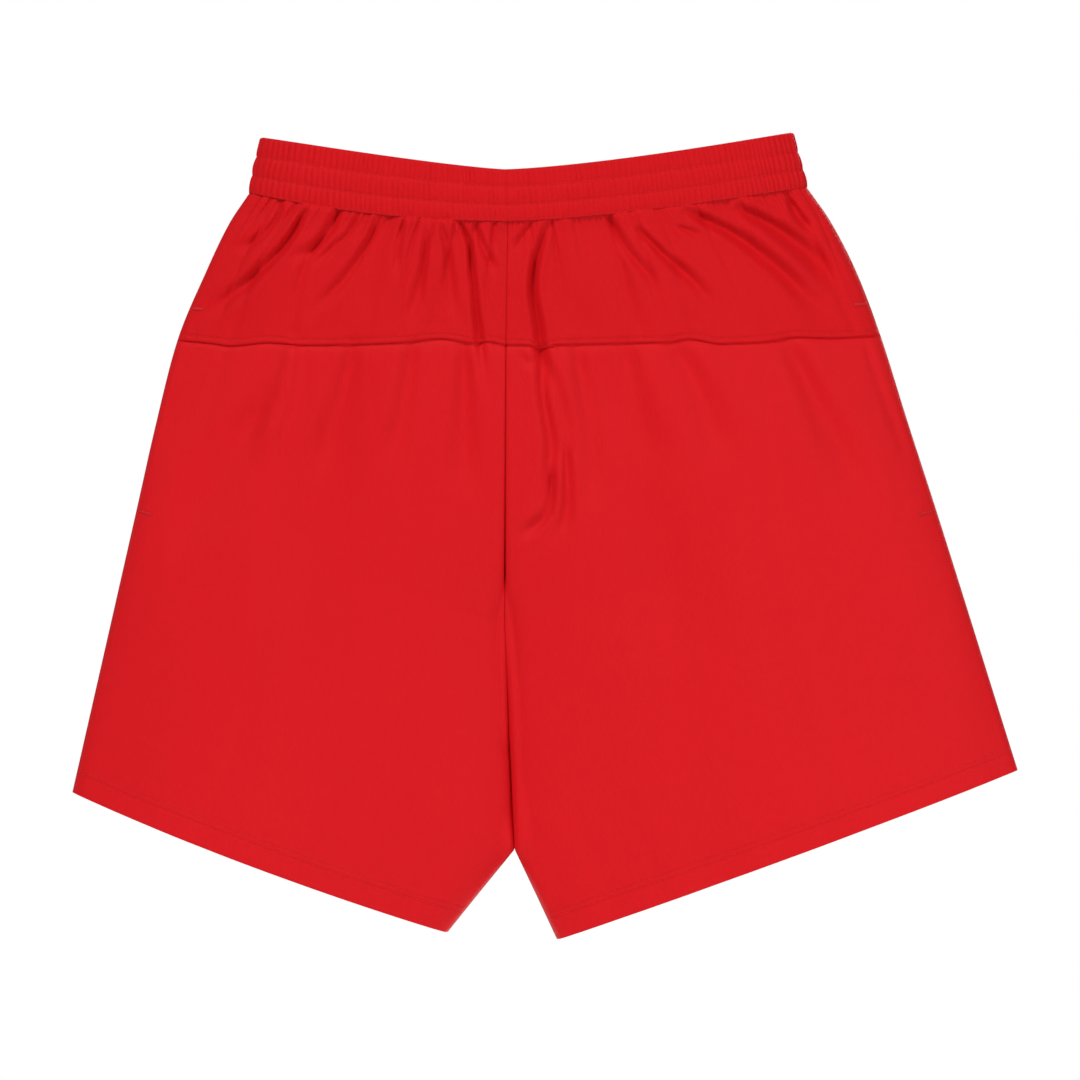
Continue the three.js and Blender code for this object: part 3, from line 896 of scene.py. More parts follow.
class Recipe:
    """A material's node tree, with short ways to add and join nodes."""

    def __init__(self, name: str) -> None:
        """Start a material with a plain shader.

        Args:
            name: the material's name.
        """
        self.material = bpy.data.materials.new(name)
        self.material.use_nodes = True
        self.tree = self.material.node_tree
        self.shader = self.tree.nodes["Principled BSDF"]

    def paint(
        self, colour: bpy.types.NodeSocket, rough: bpy.types.NodeSocket, gloss: float | None = None
    ) -> bpy.types.Material:
        """Give the shader its colour and roughness.

        Args:
            colour: the colour's output.
            rough: the roughness's output.
            gloss: how strongly it mirrors, where that isn't as usual.

        Returns:
            The finished material.
        """
        self.join(colour, self.shader.inputs["Base Color"])
        self.join(rough, self.shader.inputs["Roughness"])
        if gloss is not None:
            self.shader.inputs["Specular IOR Level"].default_value = gloss
        return self.material

    def node(self, kind: str, **values: object) -> bpy.types.Node:
        """Add a node.

        Args:
            kind: its type.
            values: its settings, or the values of its sockets where no setting has that name.

        Returns:
            The node.
        """
        made = self.tree.nodes.new(kind)
        for name, value in values.items():
            socket = name.replace("_", " ")
            if hasattr(made, name):
                setattr(made, name, value)
            else:
                made.inputs[socket].default_value = value
        return made

    def join(self, source: bpy.types.NodeSocket, target: bpy.types.NodeSocket) -> None:
        """Link an output, the source, to an input, the target."""
        self.tree.links.new(source, target)

    def grain(self, stretch: tuple[float, float, float]) -> bpy.types.NodeSocket:
        """The cloth's own coordinates in metres.

        Args:
            stretch: what each is multiplied by.

        Returns:
            The vector output.
        """
        uv = self.node("ShaderNodeUVMap", uv_map="grain")
        mapping = self.node("ShaderNodeMapping", Scale=stretch)
        self.join(uv.outputs["UV"], mapping.inputs["Vector"])
        return mapping.outputs["Vector"]

    def space(self, stretch: tuple[float, float, float]) -> bpy.types.NodeSocket:
        """The garment's coordinates in metres.

        Args:
            stretch: what each is multiplied by.

        Returns:
            The vector output.
        """
        place = self.node("ShaderNodeTexCoord")
        mapping = self.node("ShaderNodeMapping", Scale=stretch)
        self.join(place.outputs["Object"], mapping.inputs["Vector"])
        return mapping.outputs["Vector"]

    def cloud(
        self, vector: bpy.types.NodeSocket, scale: float, detail: float = 2.0
    ) -> bpy.types.NodeSocket:
        """Soft random patches.

        Args:
            vector: the coordinates.
            scale: patches to a unit.
            detail: how many finer sizes are added.

        Returns:
            An output from 0 to 1.
        """
        noise = self.node("ShaderNodeTexNoise", Scale=scale, Detail=detail)
        self.join(vector, noise.inputs["Vector"])
        return noise.outputs["Fac"]

    def lines(self, vector: bpy.types.NodeSocket, pitch: float, across: str) -> bpy.types.NodeSocket:
        """Even rounded ridges.

        Args:
            vector: the coordinates, metres.
            pitch: metres from one ridge to the next.
            across: the direction that crosses them.

        Returns:
            An output from 0 to 1.
        """
        wave = self.node("ShaderNodeTexWave", bands_direction=across, Scale=math.pi / (10.0 * pitch))
        self.join(vector, wave.inputs["Vector"])
        return wave.outputs["Fac"]

    def sum(
        self, kind: str, first: bpy.types.NodeSocket, second: bpy.types.NodeSocket | float
    ) -> bpy.types.NodeSocket:
        """Combine two values.

        Args:
            kind: the math node's operation.
            first: an output.
            second: an output or a plain number.

        Returns:
            The result's output.
        """
        made = self.node("ShaderNodeMath", operation=kind)
        self.join(first, made.inputs[0])
        if isinstance(second, float):
            made.inputs[1].default_value = second
        else:
            self.join(second, made.inputs[1])
        return made.outputs["Value"]

    def range(self, value: bpy.types.NodeSocket, low: float, high: float) -> bpy.types.NodeSocket:
        """Spread a value over a range.

        Args:
            value: an output from 0 to 1.
            low: what 0 becomes.
            high: what 1 becomes.

        Returns:
            The result's output.
        """
        made = self.node("ShaderNodeMapRange", To_Min=low, To_Max=high)
        self.join(value, made.inputs["Value"])
        return made.outputs["Result"]

    def dye(self, share: bpy.types.NodeSocket, dark: Colour, light: Colour) -> bpy.types.NodeSocket:
        """Colour between a dark and a light shade.

        Args:
            share: an output: 0 gives the dark shade, 1 the light one.
            dark: its red, green and blue.
            light: its red, green and blue.

        Returns:
            The colour's output.
        """
        made = self.node("ShaderNodeMix", data_type="RGBA")
        made.inputs["A"].default_value = (*dark, 1.0)
        made.inputs["B"].default_value = (*light, 1.0)
        self.join(share, made.inputs["Factor"])
        return made.outputs["Result"]

    def relief(self, height: bpy.types.NodeSocket, depth: float, strength: float) -> None:
        """Bump the surface.

        Args:
            height: an output from 0 to 1.
            depth: metres that 1 stands for.
            strength: how strongly it shows.
        """
        bump = self.node("ShaderNodeBump", Strength=strength, Distance=depth)
        self.join(height, bump.inputs["Height"])
        self.join(bump.outputs["Normal"], self.shader.inputs["Normal"])


@dataclass(frozen=True)
class KnitFinish:
    """Satin polyester knit: fine ribs of stitches, a soft sheen and slight streaks in the dye.

    Attributes:
        name: the material's name.
        dark: the colour where yarns lie deep, which is painted shade, and where the dye runs darker.
        light: the colour where yarns lie proud and where the dye runs lighter.
        wale: metres between ribs of stitches.
        course: metres between rows of stitches.
        relief: metres that the ribs stand proud.
        roughness: lowest and highest.
        gloss: how strongly it mirrors.
        sheen: how much fibre ends catch the light.
    """

    name: str
    dark: Colour
    light: Colour
    wale: float
    course: float
    relief: float
    roughness: tuple[float, float]
    gloss: float
    sheen: float

    def material(self) -> bpy.types.Material:
        """Build the material.

        Returns:
            The knit.
        """
        recipe = Recipe(self.name)
        grain = recipe.grain(UNSTRETCHED)
        wales = recipe.lines(grain, self.wale, "X")
        courses = recipe.lines(grain, self.course, "Y")
        slub = recipe.cloud(recipe.grain((900.0, 120.0, 1.0)), 1.0, 3.0)
        streak = recipe.cloud(recipe.grain((60.0, 4.0, 1.0)), 1.0)
        patch = recipe.cloud(recipe.space(UNSTRETCHED), 7.0, 3.0)
        stitches = recipe.sum("MULTIPLY", wales, recipe.range(courses, 0.55, 1.0))
        height = recipe.sum("ADD", stitches, recipe.range(slub, -0.35, 0.35))
        recipe.relief(height, self.relief, 0.6)
        # Painted shade between the stitches, times uneven dye in slubs, streaks and patches.
        shade = recipe.sum("MULTIPLY", recipe.range(stitches, 0.72, 1.0), recipe.range(slub, 0.72, 1.22))
        shade = recipe.sum("MULTIPLY", shade, recipe.range(streak, 0.9, 1.08))
        shade = recipe.sum("MULTIPLY", shade, recipe.range(patch, 0.88, 1.1))
        sockets = recipe.shader.inputs
        sockets["Sheen Weight"].default_value = self.sheen
        sockets["Sheen Roughness"].default_value = 0.45
        sockets["Sheen Tint"].default_value = (1.0, 0.04, 0.04, 1.0)
        colour = recipe.dye(shade, self.dark, self.light)
        return recipe.paint(colour, recipe.range(slub, *self.roughness), self.gloss)


@dataclass(frozen=True)
class ThreadFinish:
    """Spun sewing thread with a twist that catches the light.

    Attributes:
        name: the material's name.
        dark: the colour between the turns of the twist and where the fuzz lies low, which is painted shade.
        light: the colour on top of them.
    """

    name: str
    dark: Colour
    light: Colour

    def material(self) -> bpy.types.Material:
        """Build the material.

        Returns:
            The thread.
        """
        recipe = Recipe(self.name)
        twist = recipe.lines(recipe.space((1.0, 0.6, 1.0)), 0.0005, "DIAGONAL")
        fuzz = recipe.cloud(recipe.space(UNSTRETCHED), 1800.0)
        height = recipe.sum("ADD", twist, recipe.range(fuzz, -0.3, 0.3))
        recipe.relief(height, 0.00008, 0.7)
        recipe.shader.inputs["Sheen Weight"].default_value = 0.1
        recipe.shader.inputs["Sheen Tint"].default_value = (1.0, 0.15, 0.15, 1.0)
        # Painted shade: the colour darkens where the twist and fuzz lie low.
        colour = recipe.dye(recipe.range(height, 0.1, 0.9), self.dark, self.light)
        return recipe.paint(colour, recipe.range(fuzz, 0.45, 0.7), 0.25)


@dataclass(frozen=True)
class RibbonFinish:
    """Woven ribbon or elastic: crossed yarns in an off-white.

    Attributes:
        name: the material's name.
        dark: the colour between yarns, which is painted shade.
        light: the colour on top of them.
        yarn: metres from one warp yarn to the next.
    """

    name: str
    dark: Colour
    light: Colour
    yarn: float

    def material(self) -> bpy.types.Material:
        """Build the material.

        Returns:
            The ribbon.
        """
        recipe = Recipe(self.name)
        grain = recipe.grain(UNSTRETCHED)
        warp = recipe.lines(grain, self.yarn, "X")
        weft = recipe.lines(grain, self.yarn * 0.8, "Y")
        weave = recipe.sum("MAXIMUM", warp, weft)
        fuzz = recipe.cloud(recipe.space(UNSTRETCHED), 900.0)
        recipe.relief(weave, 0.0001, 0.6)
        # Painted shade between the yarns, times uneven fuzz.
        shade = recipe.sum("MULTIPLY", weave, recipe.range(fuzz, 0.8, 1.1))
        return recipe.paint(recipe.dye(shade, self.dark, self.light), recipe.range(fuzz, 0.6, 0.85))


class Finishes:
    """Every finish of the garment, made once."""

    def __init__(self) -> None:
        """Mix the dyes."""
        self.knit = KnitFinish(
            name="red_satin_knit",
            dark=(0.47, 0.0055, 0.0075),
            light=(0.68, 0.008, 0.013),
            wale=0.00078,
            course=0.00062,
            relief=0.00016,
            roughness=(0.46, 0.62),
            gloss=0.08,
            sheen=0.06,
        ).material()
        # Yoke and waistband knit, cut across the grain; its darker dye is painted shade, standing in for its
        # weaker sheen.
        self.shaded_cross_knit = KnitFinish(
            name="red_satin_knit_cut_across",
            dark=(0.44, 0.0045, 0.006),
            light=(0.65, 0.0068, 0.011),
            wale=0.00062,
            course=0.00078,
            relief=0.00016,
            roughness=(0.5, 0.66),
            gloss=0.07,
            sheen=0.05,
        ).material()
        self.mesh = KnitFinish(
            name="red_pocket_mesh",
            dark=(0.28, 0.004, 0.005),
            light=(0.55, 0.008, 0.012),
            wale=0.0022,
            course=0.0022,
            relief=0.0004,
            roughness=(0.6, 0.8),
            gloss=0.12,
            sheen=0.05,
        ).material()
        self.thread = ThreadFinish(
            name="red_sewing_thread",
            dark=(0.4, 0.006, 0.008),
            light=(0.78, 0.012, 0.018),
        ).material()
        self.elastic = RibbonFinish(
            name="white_elastic",
            dark=(0.5, 0.49, 0.46),
            light=(0.85, 0.84, 0.8),
            yarn=0.0012,
        ).material()
        self.label = RibbonFinish(
            name="white_ribbon",
            dark=(0.72, 0.71, 0.69),
            light=(0.92, 0.91, 0.88),
            yarn=0.0003,
        ).material()


# --------------------------------------------------------------------------- sewing


@dataclass(frozen=True)
class Stitching:
    """How a row of lockstitch is laid.

    Attributes:
        pitch: mm from one needle hole to the next.
        length: mm of thread that shows between two holes.
        radius: half the thread's thickness, mm.
        proud: mm that the middle of a stitch stands off the cloth.
    """

    pitch: float = 2.45
    length: float = 1.65
    radius: float = 0.25
    proud: float = 0.28

    def sew(self, mesh: ClothMesh, path: Numbers, normals: Numbers) -> None:
        """Lay stitches along a path.

        Args:
            mesh: the piece that gets them.
            path: points on the cloth, metres.
            normals: the cloth's outward direction at each.
        """
        lengths = np.linalg.norm(np.diff(path, axis=0), axis=1)
        gone = np.concatenate([[0.0], np.cumsum(lengths)]) / MM
        count = int(gone[-1] // self.pitch)
        lifts = np.array([-0.9, 0.55, 1.0, 0.55, -0.9]) * self.proud * MM
        for i in range(count):
            middle = (i + 0.5) * gone[-1] / count
            at = middle + np.linspace(-0.5, 0.5, len(lifts)) * self.length
            points = np.stack([np.interp(at, gone, path[:, axis]) for axis in range(3)], axis=1)
            outward = np.stack([np.interp(at, gone, normals[:, axis]) for axis in range(3)], axis=1)
            mesh.add_thread(points + outward * lifts[:, None], self.radius * MM)


@dataclass(frozen=True)
class Overlock:
    """A trimmed seam edge wrapped in zigzag thread.

    Attributes:
        pitch: mm from one zigzag to the next.
        radius: half the thread's thickness, mm.
        cloth: mm of the two plies under the thread.
    """

    pitch: float = 2.2
    radius: float = 0.16
    cloth: float = 0.7

    def build(
        self, name: str, node: str, near: Numbers, far: Numbers, lift: Numbers, finishes: Finishes
    ) -> None:
        """Make one overlocked seam.

        Args:
            name: the new piece.
            node: the frame's node that it stands for.
            near: points along the seam line, metres.
            far: points along the trimmed edge.
            lift: direction off the ribbon at each point.
            finishes: the garment's finishes.
        """
        mesh = ClothMesh(name)
        gone = np.concatenate([[0.0], np.cumsum(np.linalg.norm(np.diff(near, axis=0), axis=1))]) / MM
        shares = np.linspace(0.0, 1.0, 4)
        for side in (1.0, -1.0):
            layer = lift * side * self.cloth * 0.5 * MM
            grid = near[:, None] + (far - near)[:, None] * shares[None, :, None] + layer[:, None]
            grain = np.stack(np.broadcast_arrays(gone[:, None] * MM, shares[None] * 0.006), axis=-1)
            mesh.add_grid(grid if side > 0 else grid[:, ::-1], grain)
        turns = int(gone[-1] // self.pitch)
        for side in (1.0, -1.0):
            at = np.linspace(0.0, gone[-1], turns * 2 + 1)
            share = np.where(np.arange(turns * 2 + 1) % 2, 1.06, 0.06)
            ends = [
                np.stack([np.interp(at, gone, edge[:, axis]) for axis in range(3)], axis=1)
                for edge in (near, far, lift)
            ]
            path = ends[0] + (ends[1] - ends[0]) * share[:, None]
            path += ends[2] * side * (self.cloth * 0.5 + self.radius) * MM
            mesh.add_zigzag(path, self.radius * MM)
        mesh.finish(finishes.thread, node, Slot.THREAD)


# --------------------------------------------------------------------------- sub-assemblies


@dataclass
class Waistband:
    """The folded casing, gathered by its elastic into three stitched tunnels.

    Attributes:
        cloth: the shape that the garment hangs in.
        finishes: the garment's finishes.
        stations: points round the waist.
        rows: the stitch rows, as shares from the top edge to the foot.
        puff: mm that a tunnel swells between its rows.
        rib: mm from the bottom to the top of a gather.
        outer: mm from the hung shape to the outer wall where it is pinched.
        inner: the same for the inner wall.
        thickness: mm of cloth.
        elastic_thickness: mm.
        edges: (level, mm off the cloth's middle) of both edges of the overlock.
    """

    cloth: HungCloth
    finishes: Finishes
    stations: int = 1100
    rows: tuple[float, ...] = (0.33, 0.675, 0.985)
    puff: float = 0.95
    rib: float = 1.5
    outer: float = 0.55
    inner: float = -2.3
    thickness: float = 0.55
    elastic_thickness: float = 1.2
    edges: tuple[tuple[float, float], ...] = ((0.012, -2.2), (0.075, -2.7))

    def __post_init__(self) -> None:
        """Space the stations evenly round the waist."""
        turn = np.linspace(-0.5 * math.pi, 1.5 * math.pi, 8001)
        x, y, _ = self.loop(turn, 0.5)
        gone = np.concatenate([[0.0], np.cumsum(np.hypot(np.diff(x), np.diff(y)))])
        even = np.linspace(0.0, gone[-1], self.stations, endpoint=False)
        self.turn = np.interp(even, gone, turn)
        self.around = even

    @staticmethod
    def quarter(turn: Numbers, half: HalfPattern, face: Face) -> Numbers:
        """Which angles round the waist belong to one face of one half."""
        return (np.sin(turn) * half.hand.value >= 0) & (np.cos(turn) * face.value <= 0)

    def loop(self, turn: Numbers, down: float) -> tuple[Numbers, Numbers, Numbers]:
        """The waist's outline at a share from the top edge (0) to the foot (1).

        Args:
            turn: angles round the waist: 0 is mid-back, a quarter turn the right side seam.
            down: the share.

        Returns:
            x, y and z in mm.
        """
        across = np.minimum(np.abs(np.sin(turn)), 1.0)
        x, y, z = (np.zeros(turn.shape) for _ in range(3))
        for half in HALVES.values():
            for face in Face:
                here = self.quarter(turn, half, face)
                foot_x, foot_z = self.cloth.flat_place(half, face, np.zeros(turn.shape), across)
                dip = self.cloth.front_dip * (1.0 - across**2) if face is Face.FRONT else 0.0
                top_x = mix(self.cloth.band_middle[0], half.corner[0], across)
                top_z = mix(self.cloth.band_middle[1], half.corner[1], across**half.top_curve) - dip
                x = np.where(here, mix(top_x, foot_x, down), x)
                y = np.where(here, face.value * self.cloth.depth(np.zeros(turn.shape), across), y)
                z = np.where(here, mix(top_z, foot_z, down), z)
        return x, y, z

    def gathers(self, down: float) -> Numbers:
        """Ribs of gathered cloth round the waist.

        Args:
            down: share from the top edge to the foot.

        Returns:
            The height at each station, from 0 in a crease to 1 on a rib.
        """
        across = np.minimum(np.abs(np.sin(self.turn)), 1.0)
        sign = np.where(np.sin(self.turn) > 0, 1.0, -1.0)
        left, right = (self.cloth.rib_phase(half, across) for half in HALVES.values())
        phase = np.where(sign > 0, right, left)
        tunnel = float(np.searchsorted(self.rows, down))
        lean = self.cloth.noise["tunnel"].at(phase / 7.0 + 11.0 * tunnel, tunnel * 5.0)
        phase = phase + (0.55 * lean + 0.25 * sign * tunnel) * (down - 0.5)
        size = 0.78 + 0.22 * self.cloth.noise["tunnel"].at(phase * 0.9, 3.0 + down * 2.0)
        return np.abs(np.sin(math.pi * phase)) ** 0.8 * size

    def swell(self, down: float) -> tuple[float, float]:
        """How far a tunnel swells.

        Args:
            down: share from the top edge to the foot.

        Returns:
            mm outwards, and how free the gathers are there, from 0.5 to 1.
        """
        top = 0.0
        for i, row in enumerate(self.rows):
            if down <= row + 1e-6:
                share = (row - down) / (row - top)
                if i == 0:
                    share = min(share, 0.5)
                open_share = math.sin(math.pi * min(max(share, 0.0), 1.0)) ** 0.62
                return self.puff * open_share, 0.5 + 0.5 * open_share
            top = row
        return 0.0, 0.5

    def wall(self, down: float, outside: bool) -> Numbers:
        """Where a wall of the casing lies all round.

        Args:
            down: share from the top edge to the foot.
            outside: the outer wall, not the inner one.

        Returns:
            mm outwards at each station.
        """
        puff, freedom = self.swell(down)
        to_middle = WAIST_HALF_WIDTH * np.abs(np.sin(self.turn))
        from_seam = np.where(np.cos(self.turn) > 0, to_middle, WAIST_HALF_WIDTH)
        calm = 0.35 + 0.65 * ramp(from_seam, 1.5, 9.0)
        ribs = self.rib * freedom * calm * (self.gathers(down) - 0.55)
        ribs = ribs - 0.8 * bell(from_seam, 0.9)
        if outside:
            return self.outer + puff + ribs
        return self.inner - 0.5 * puff - 0.5 * ribs

    def ring(self, down: float, offset: Numbers, rise: Numbers | float = 0.0) -> tuple[Numbers, Numbers]:
        """A ring of points round the waist.

        Args:
            down: share from the top edge to the foot.
            offset: mm outwards at each station.
            rise: mm upwards.

        Returns:
            The points in metres and the outward direction at each.
        """
        x, y, z = self.loop(self.turn, down)
        along_x = np.roll(x, -1) - np.roll(x, 1)
        along_y = np.roll(y, -1) - np.roll(y, 1)
        length = np.hypot(along_x, along_y)
        normal = np.stack([along_y / length, -along_x / length, np.zeros(len(x))], axis=1)
        points = np.stack([x, y, z + rise], axis=1) + normal * offset[:, None]
        return points * MM, normal

    def build_casing(self) -> None:
        """Fold the casing over the elastic, outer wall first."""
        mesh = ClothMesh("folded_waist_casing")
        outer_top = self.wall(0.0, True)
        inner_top = self.wall(0.0, False)
        radius = (outer_top - inner_top) * 0.5
        middle = (outer_top + inner_top) * 0.5
        drop = 0.75 * radius
        rings = []
        downs = np.unique(np.concatenate([np.linspace(0.0, 1.0, 25), np.array(self.rows)]))[::-1]
        tuck = self.wall(1.0, True) - 0.9
        rings.append(self.ring(1.0, tuck, -0.1)[0])
        for down in downs:
            rings.append(self.ring(down, self.wall(down, True), -drop * (1.0 - down) ** 2)[0])
        for angle in np.linspace(0.0, math.pi, 7)[1:-1]:
            rise = drop * (math.sin(angle) - 1.0)
            rings.append(self.ring(0.0, middle + radius * math.cos(angle), rise)[0])
        for down in downs[::-4]:
            rings.append(self.ring(down, self.wall(down, False), -drop * (1.0 - down) ** 2)[0])
        points = np.stack(rings)
        steps = np.linalg.norm(np.diff(points.mean(axis=1), axis=0), axis=1)
        height = np.concatenate([[0.0], np.cumsum(steps)])
        grain = np.stack(np.broadcast_arrays(self.around[None] * 1.3 * MM, height[:, None]), axis=-1)
        mesh.add_grid(points, grain, closed=True)
        # The casing takes the cut-across knit, whose darker dye is painted shade.
        casing = mesh.finish(self.finishes.shaded_cross_knit, "waistband_casing", Slot.KNIT, self.thickness)

    def build_elastic(self) -> None:
        """Lay the elastic ring inside the casing."""
        mesh = ClothMesh("sewn_in_elastic")
        rings = []
        downs = np.linspace(0.97, 0.09, 24)
        for down in downs:
            puff, _ = self.swell(down)
            middle = np.full(self.stations, 0.5 * (self.outer + self.inner) + 0.15 * puff)
            rings.append(self.ring(down, middle)[0][::4])
        points = np.stack(rings)
        along = self.around[None, ::4] * MM
        grain = np.stack(np.broadcast_arrays(along, downs[:, None] * 0.04), axis=-1)
        mesh.add_grid(points, grain, closed=True)
        elastic = mesh.finish(
            self.finishes.elastic, "waistband_elastic", Slot.ELASTIC, self.elastic_thickness
        )

    def build_stitches(self) -> None:
        """Sew the three rows through casing and elastic."""
        names = ("waist_stitch_upper", "waist_stitch_lower", "waist_join_stitch")
        for down, node in zip(self.rows, names, strict=True):
            waver = 0.35 * self.cloth.noise["soft"].at(self.around / 30.0, 20.0 + down)
            path, normals = self.ring(down, self.wall(down, True) + 0.5 * self.thickness, waver)
            path = np.concatenate([path, path[:1]])
            normals = np.concatenate([normals, normals[:1]])
            mesh = ClothMesh(f"{node}_thread")
            Stitching(pitch=2.4, proud=0.22).sew(mesh, path, normals)
            mesh.finish(self.finishes.thread, node, Slot.THREAD)

    def build_overlock(self) -> None:
        """Wrap the raw edges where the casing joins the body."""
        across = np.minimum(np.abs(np.sin(self.turn)), 1.0)[:, None]
        found = [np.zeros((self.stations, 3)) for _ in self.edges]
        for half in HALVES.values():
            for face in Face:
                here = self.quarter(self.turn, half, face)
                for edge, (level, lift) in zip(found, self.edges, strict=True):
                    levels = np.full((self.stations, 1), level)
                    edge[here] = self.cloth.places(half, face, levels, across, lift)[here, 0]
        _, normals = self.ring(1.0, np.zeros(self.stations))
        order = np.concatenate([np.arange(0, self.stations, 2), [0]])
        near, far = (edge[order] for edge in found)
        name = "overlocked_waist_seam"
        Overlock().build(name, "overlock_waist", near, far, -normals[order], self.finishes)

    def build(self) -> None:
        """Make the whole waistband."""
        self.build_elastic()
        self.build_casing()
        self.build_stitches()
        self.build_overlock()


@dataclass
class Body:
    """Yoke, back panels and front panels of both halves, with their hems turned up.

    Attributes:
        cloth: the shape that the garment hangs in.
        finishes: the garment's finishes.
        columns: points across a panel.
        row_step: mm between rows of points on a panel.
        yoke_step: the same on the yoke, where the gathers are fine.
        thickness: mm of cloth.
        fold_radius: mm, of the fold at a hem.
        tuck: mm that the cloth goes up behind the waistband.
        widths: metres of cloth across a panel of the left and of the right half; not used.
        beside_seam: mm from the yoke seam of the extra rows of points there.
        beside_stitch: the same for a row of stitches.
    """

    cloth: HungCloth
    finishes: Finishes
    columns: int = 170
    row_step: float = 2.2
    yoke_step: float = 1.3
    thickness: float = 0.55
    fold_radius: float = 0.75
    tuck: float = 2.5
    widths: tuple[float, float] = (0.33, 0.38)
    beside_seam: tuple[float, ...] = (0.3, 0.7, 1.2, 1.8)
    beside_stitch: tuple[float, ...] = (-0.8, -0.4, 0.0, 0.4, 0.8)

    def spread(self, count: int) -> Numbers:
        """Columns across a panel, closer together at its edges."""
        even = np.linspace(0.0, 1.0, count)
        return mix(even, 0.5 - 0.5 * np.cos(math.pi * even), 0.4)

    def levels(self, start: float, end: float) -> Numbers:
        """Rows of points, spaced in mm down the cloth and closer at seams and stitches.

        Args:
            start: level of the first row.
            end: level of the last row.

        Returns:
            Their levels, rising.
        """
        found = []
        for i, length in enumerate(self.cloth.level_lengths):
            low = max(start, float(i))
            high = min(end, float(i + 1))
            if high > low:
                step = self.yoke_step if i == 0 else self.row_step
                count = max(2, round((high - low) * length / step))
                found.append(np.linspace(low, high, count, endpoint=False))
        close = np.array(self.beside_seam)
        dent = np.array(self.beside_stitch)
        above = np.concatenate([close, self.cloth.topstitch_gap + dent])
        found.append(YOKE_LEVEL - above / self.cloth.level_lengths[0])
        found.append(YOKE_LEVEL + close / self.cloth.level_lengths[1])
        for row in self.cloth.hem_rows:
            found.append(HEM_LEVEL - (row + dent) / self.cloth.level_lengths[2])
        rows = np.unique(np.round(np.concatenate([*found, [end]]), 5))
        return rows[(rows >= start) & (rows <= end)]

    def turned_up(self, reach: float, length: float) -> tuple[Numbers, Numbers]:
        """Rows that fold an edge inwards and back up.

        Args:
            reach: mm of cloth that is turned up.
            length: mm in a level there.

        Returns:
            Steps in level past the edge, and lifts in mm.
        """
        angles = np.linspace(0.0, math.pi, 7)[1:]
        round_steps = self.fold_radius * np.sin(angles) / length
        round_lifts = -self.fold_radius * (1.0 - np.cos(angles))
        up = np.linspace(0.0, reach, 8)[1:]
        steps = np.concatenate([round_steps, -up / length])
        lifts = np.concatenate([round_lifts, np.full(len(up), -2.0 * self.fold_radius)])
        return steps, lifts

    def build_panel(
        self,
        name: str,
        node: str,
        half: HalfPattern,
        face: Face,
        levels: Numbers,
        lifts: Numbers,
        columns: int,
    ) -> bpy.types.Object:
        """Make one panel.

        Args:
            name: the new piece.
            node: the frame's node that it stands for.
            half: the half it is on.
            face: the back or the front.
            levels: its rows.
            lifts: mm off the hung shape, row by row.
            columns: points across it.

        Returns:
            The panel.
        """
        across = self.spread(columns)
        points = self.cloth.places(half, face, levels[:, None], across[None], lifts[:, None])
        if half.hand.value * face.value > 0:
            points = points[:, ::-1]
            across = across[::-1]
        row_steps = np.linalg.norm(np.diff(points[:, columns // 2], axis=0), axis=1)
        down = np.concatenate([[0.0], np.cumsum(row_steps)])
        grain = np.stack(np.broadcast_arrays(across[None] * 0.31, down[:, None]), axis=-1)
        mesh = ClothMesh(name)
        mesh.add_grid(points, grain)
        # The yoke takes the cut-across knit, whose darker dye is painted shade.
        cut_across = node.startswith("back_yoke")
        finish = self.finishes.shaded_cross_knit if cut_across else self.finishes.knit
        return mesh.finish(finish, node, Slot.KNIT, self.thickness)

    def build_half(self, half: HalfPattern) -> None:
        """Make yoke, back panel and front panel of one half.

        Args:
            half: the half.
        """
        hand = half.hand.label
        lengths = self.cloth.level_lengths
        top = -self.tuck / lengths[0]
        hem_steps, hem_lifts = self.turned_up(self.cloth.hem_depth, lengths[2])
        edge_steps, edge_lifts = self.turned_up(3.0, lengths[0])

        yoke_rows = self.levels(0.0, YOKE_LEVEL)
        levels = np.concatenate([[top, top * 0.5], yoke_rows, YOKE_LEVEL + edge_steps])
        lifts = np.concatenate([[-1.3, -0.9], np.zeros(len(yoke_rows)), edge_lifts * 0.6])
        lifts[2:4] = (-0.3, 0.0)
        yoke = self.build_panel(
            f"knit_back_yoke_{hand}", f"back_yoke_{hand}", half, Face.BACK, levels, lifts, 250
        )

        rows = self.levels(YOKE_LEVEL, HEM_LEVEL)
        under = YOKE_LEVEL - np.array([3.0, 1.0]) / lengths[0]
        levels = np.concatenate([under, rows, HEM_LEVEL + hem_steps])
        lifts = np.concatenate([[-1.5, -1.3], np.zeros(len(rows)), hem_lifts])
        lifts[2] = -0.35
        back = self.build_panel(
            f"knit_back_panel_{hand}", f"back_panel_{hand}", half, Face.BACK, levels, lifts, self.columns
        )

        rows = self.levels(0.0, HEM_LEVEL)
        levels = np.concatenate([[top, top * 0.5], rows, HEM_LEVEL + hem_steps])
        lifts = np.concatenate([[-1.3, -0.9], np.zeros(len(rows)), hem_lifts])
        lifts[2:4] = (-0.3, 0.0)
        front = self.build_panel(
            f"knit_front_panel_{hand}", f"front_panel_{hand}", half, Face.FRONT, levels, lifts, self.columns
        )

    def build(self) -> None:
        """Make both halves."""
        for half in HALVES.values():
            self.build_half(half)


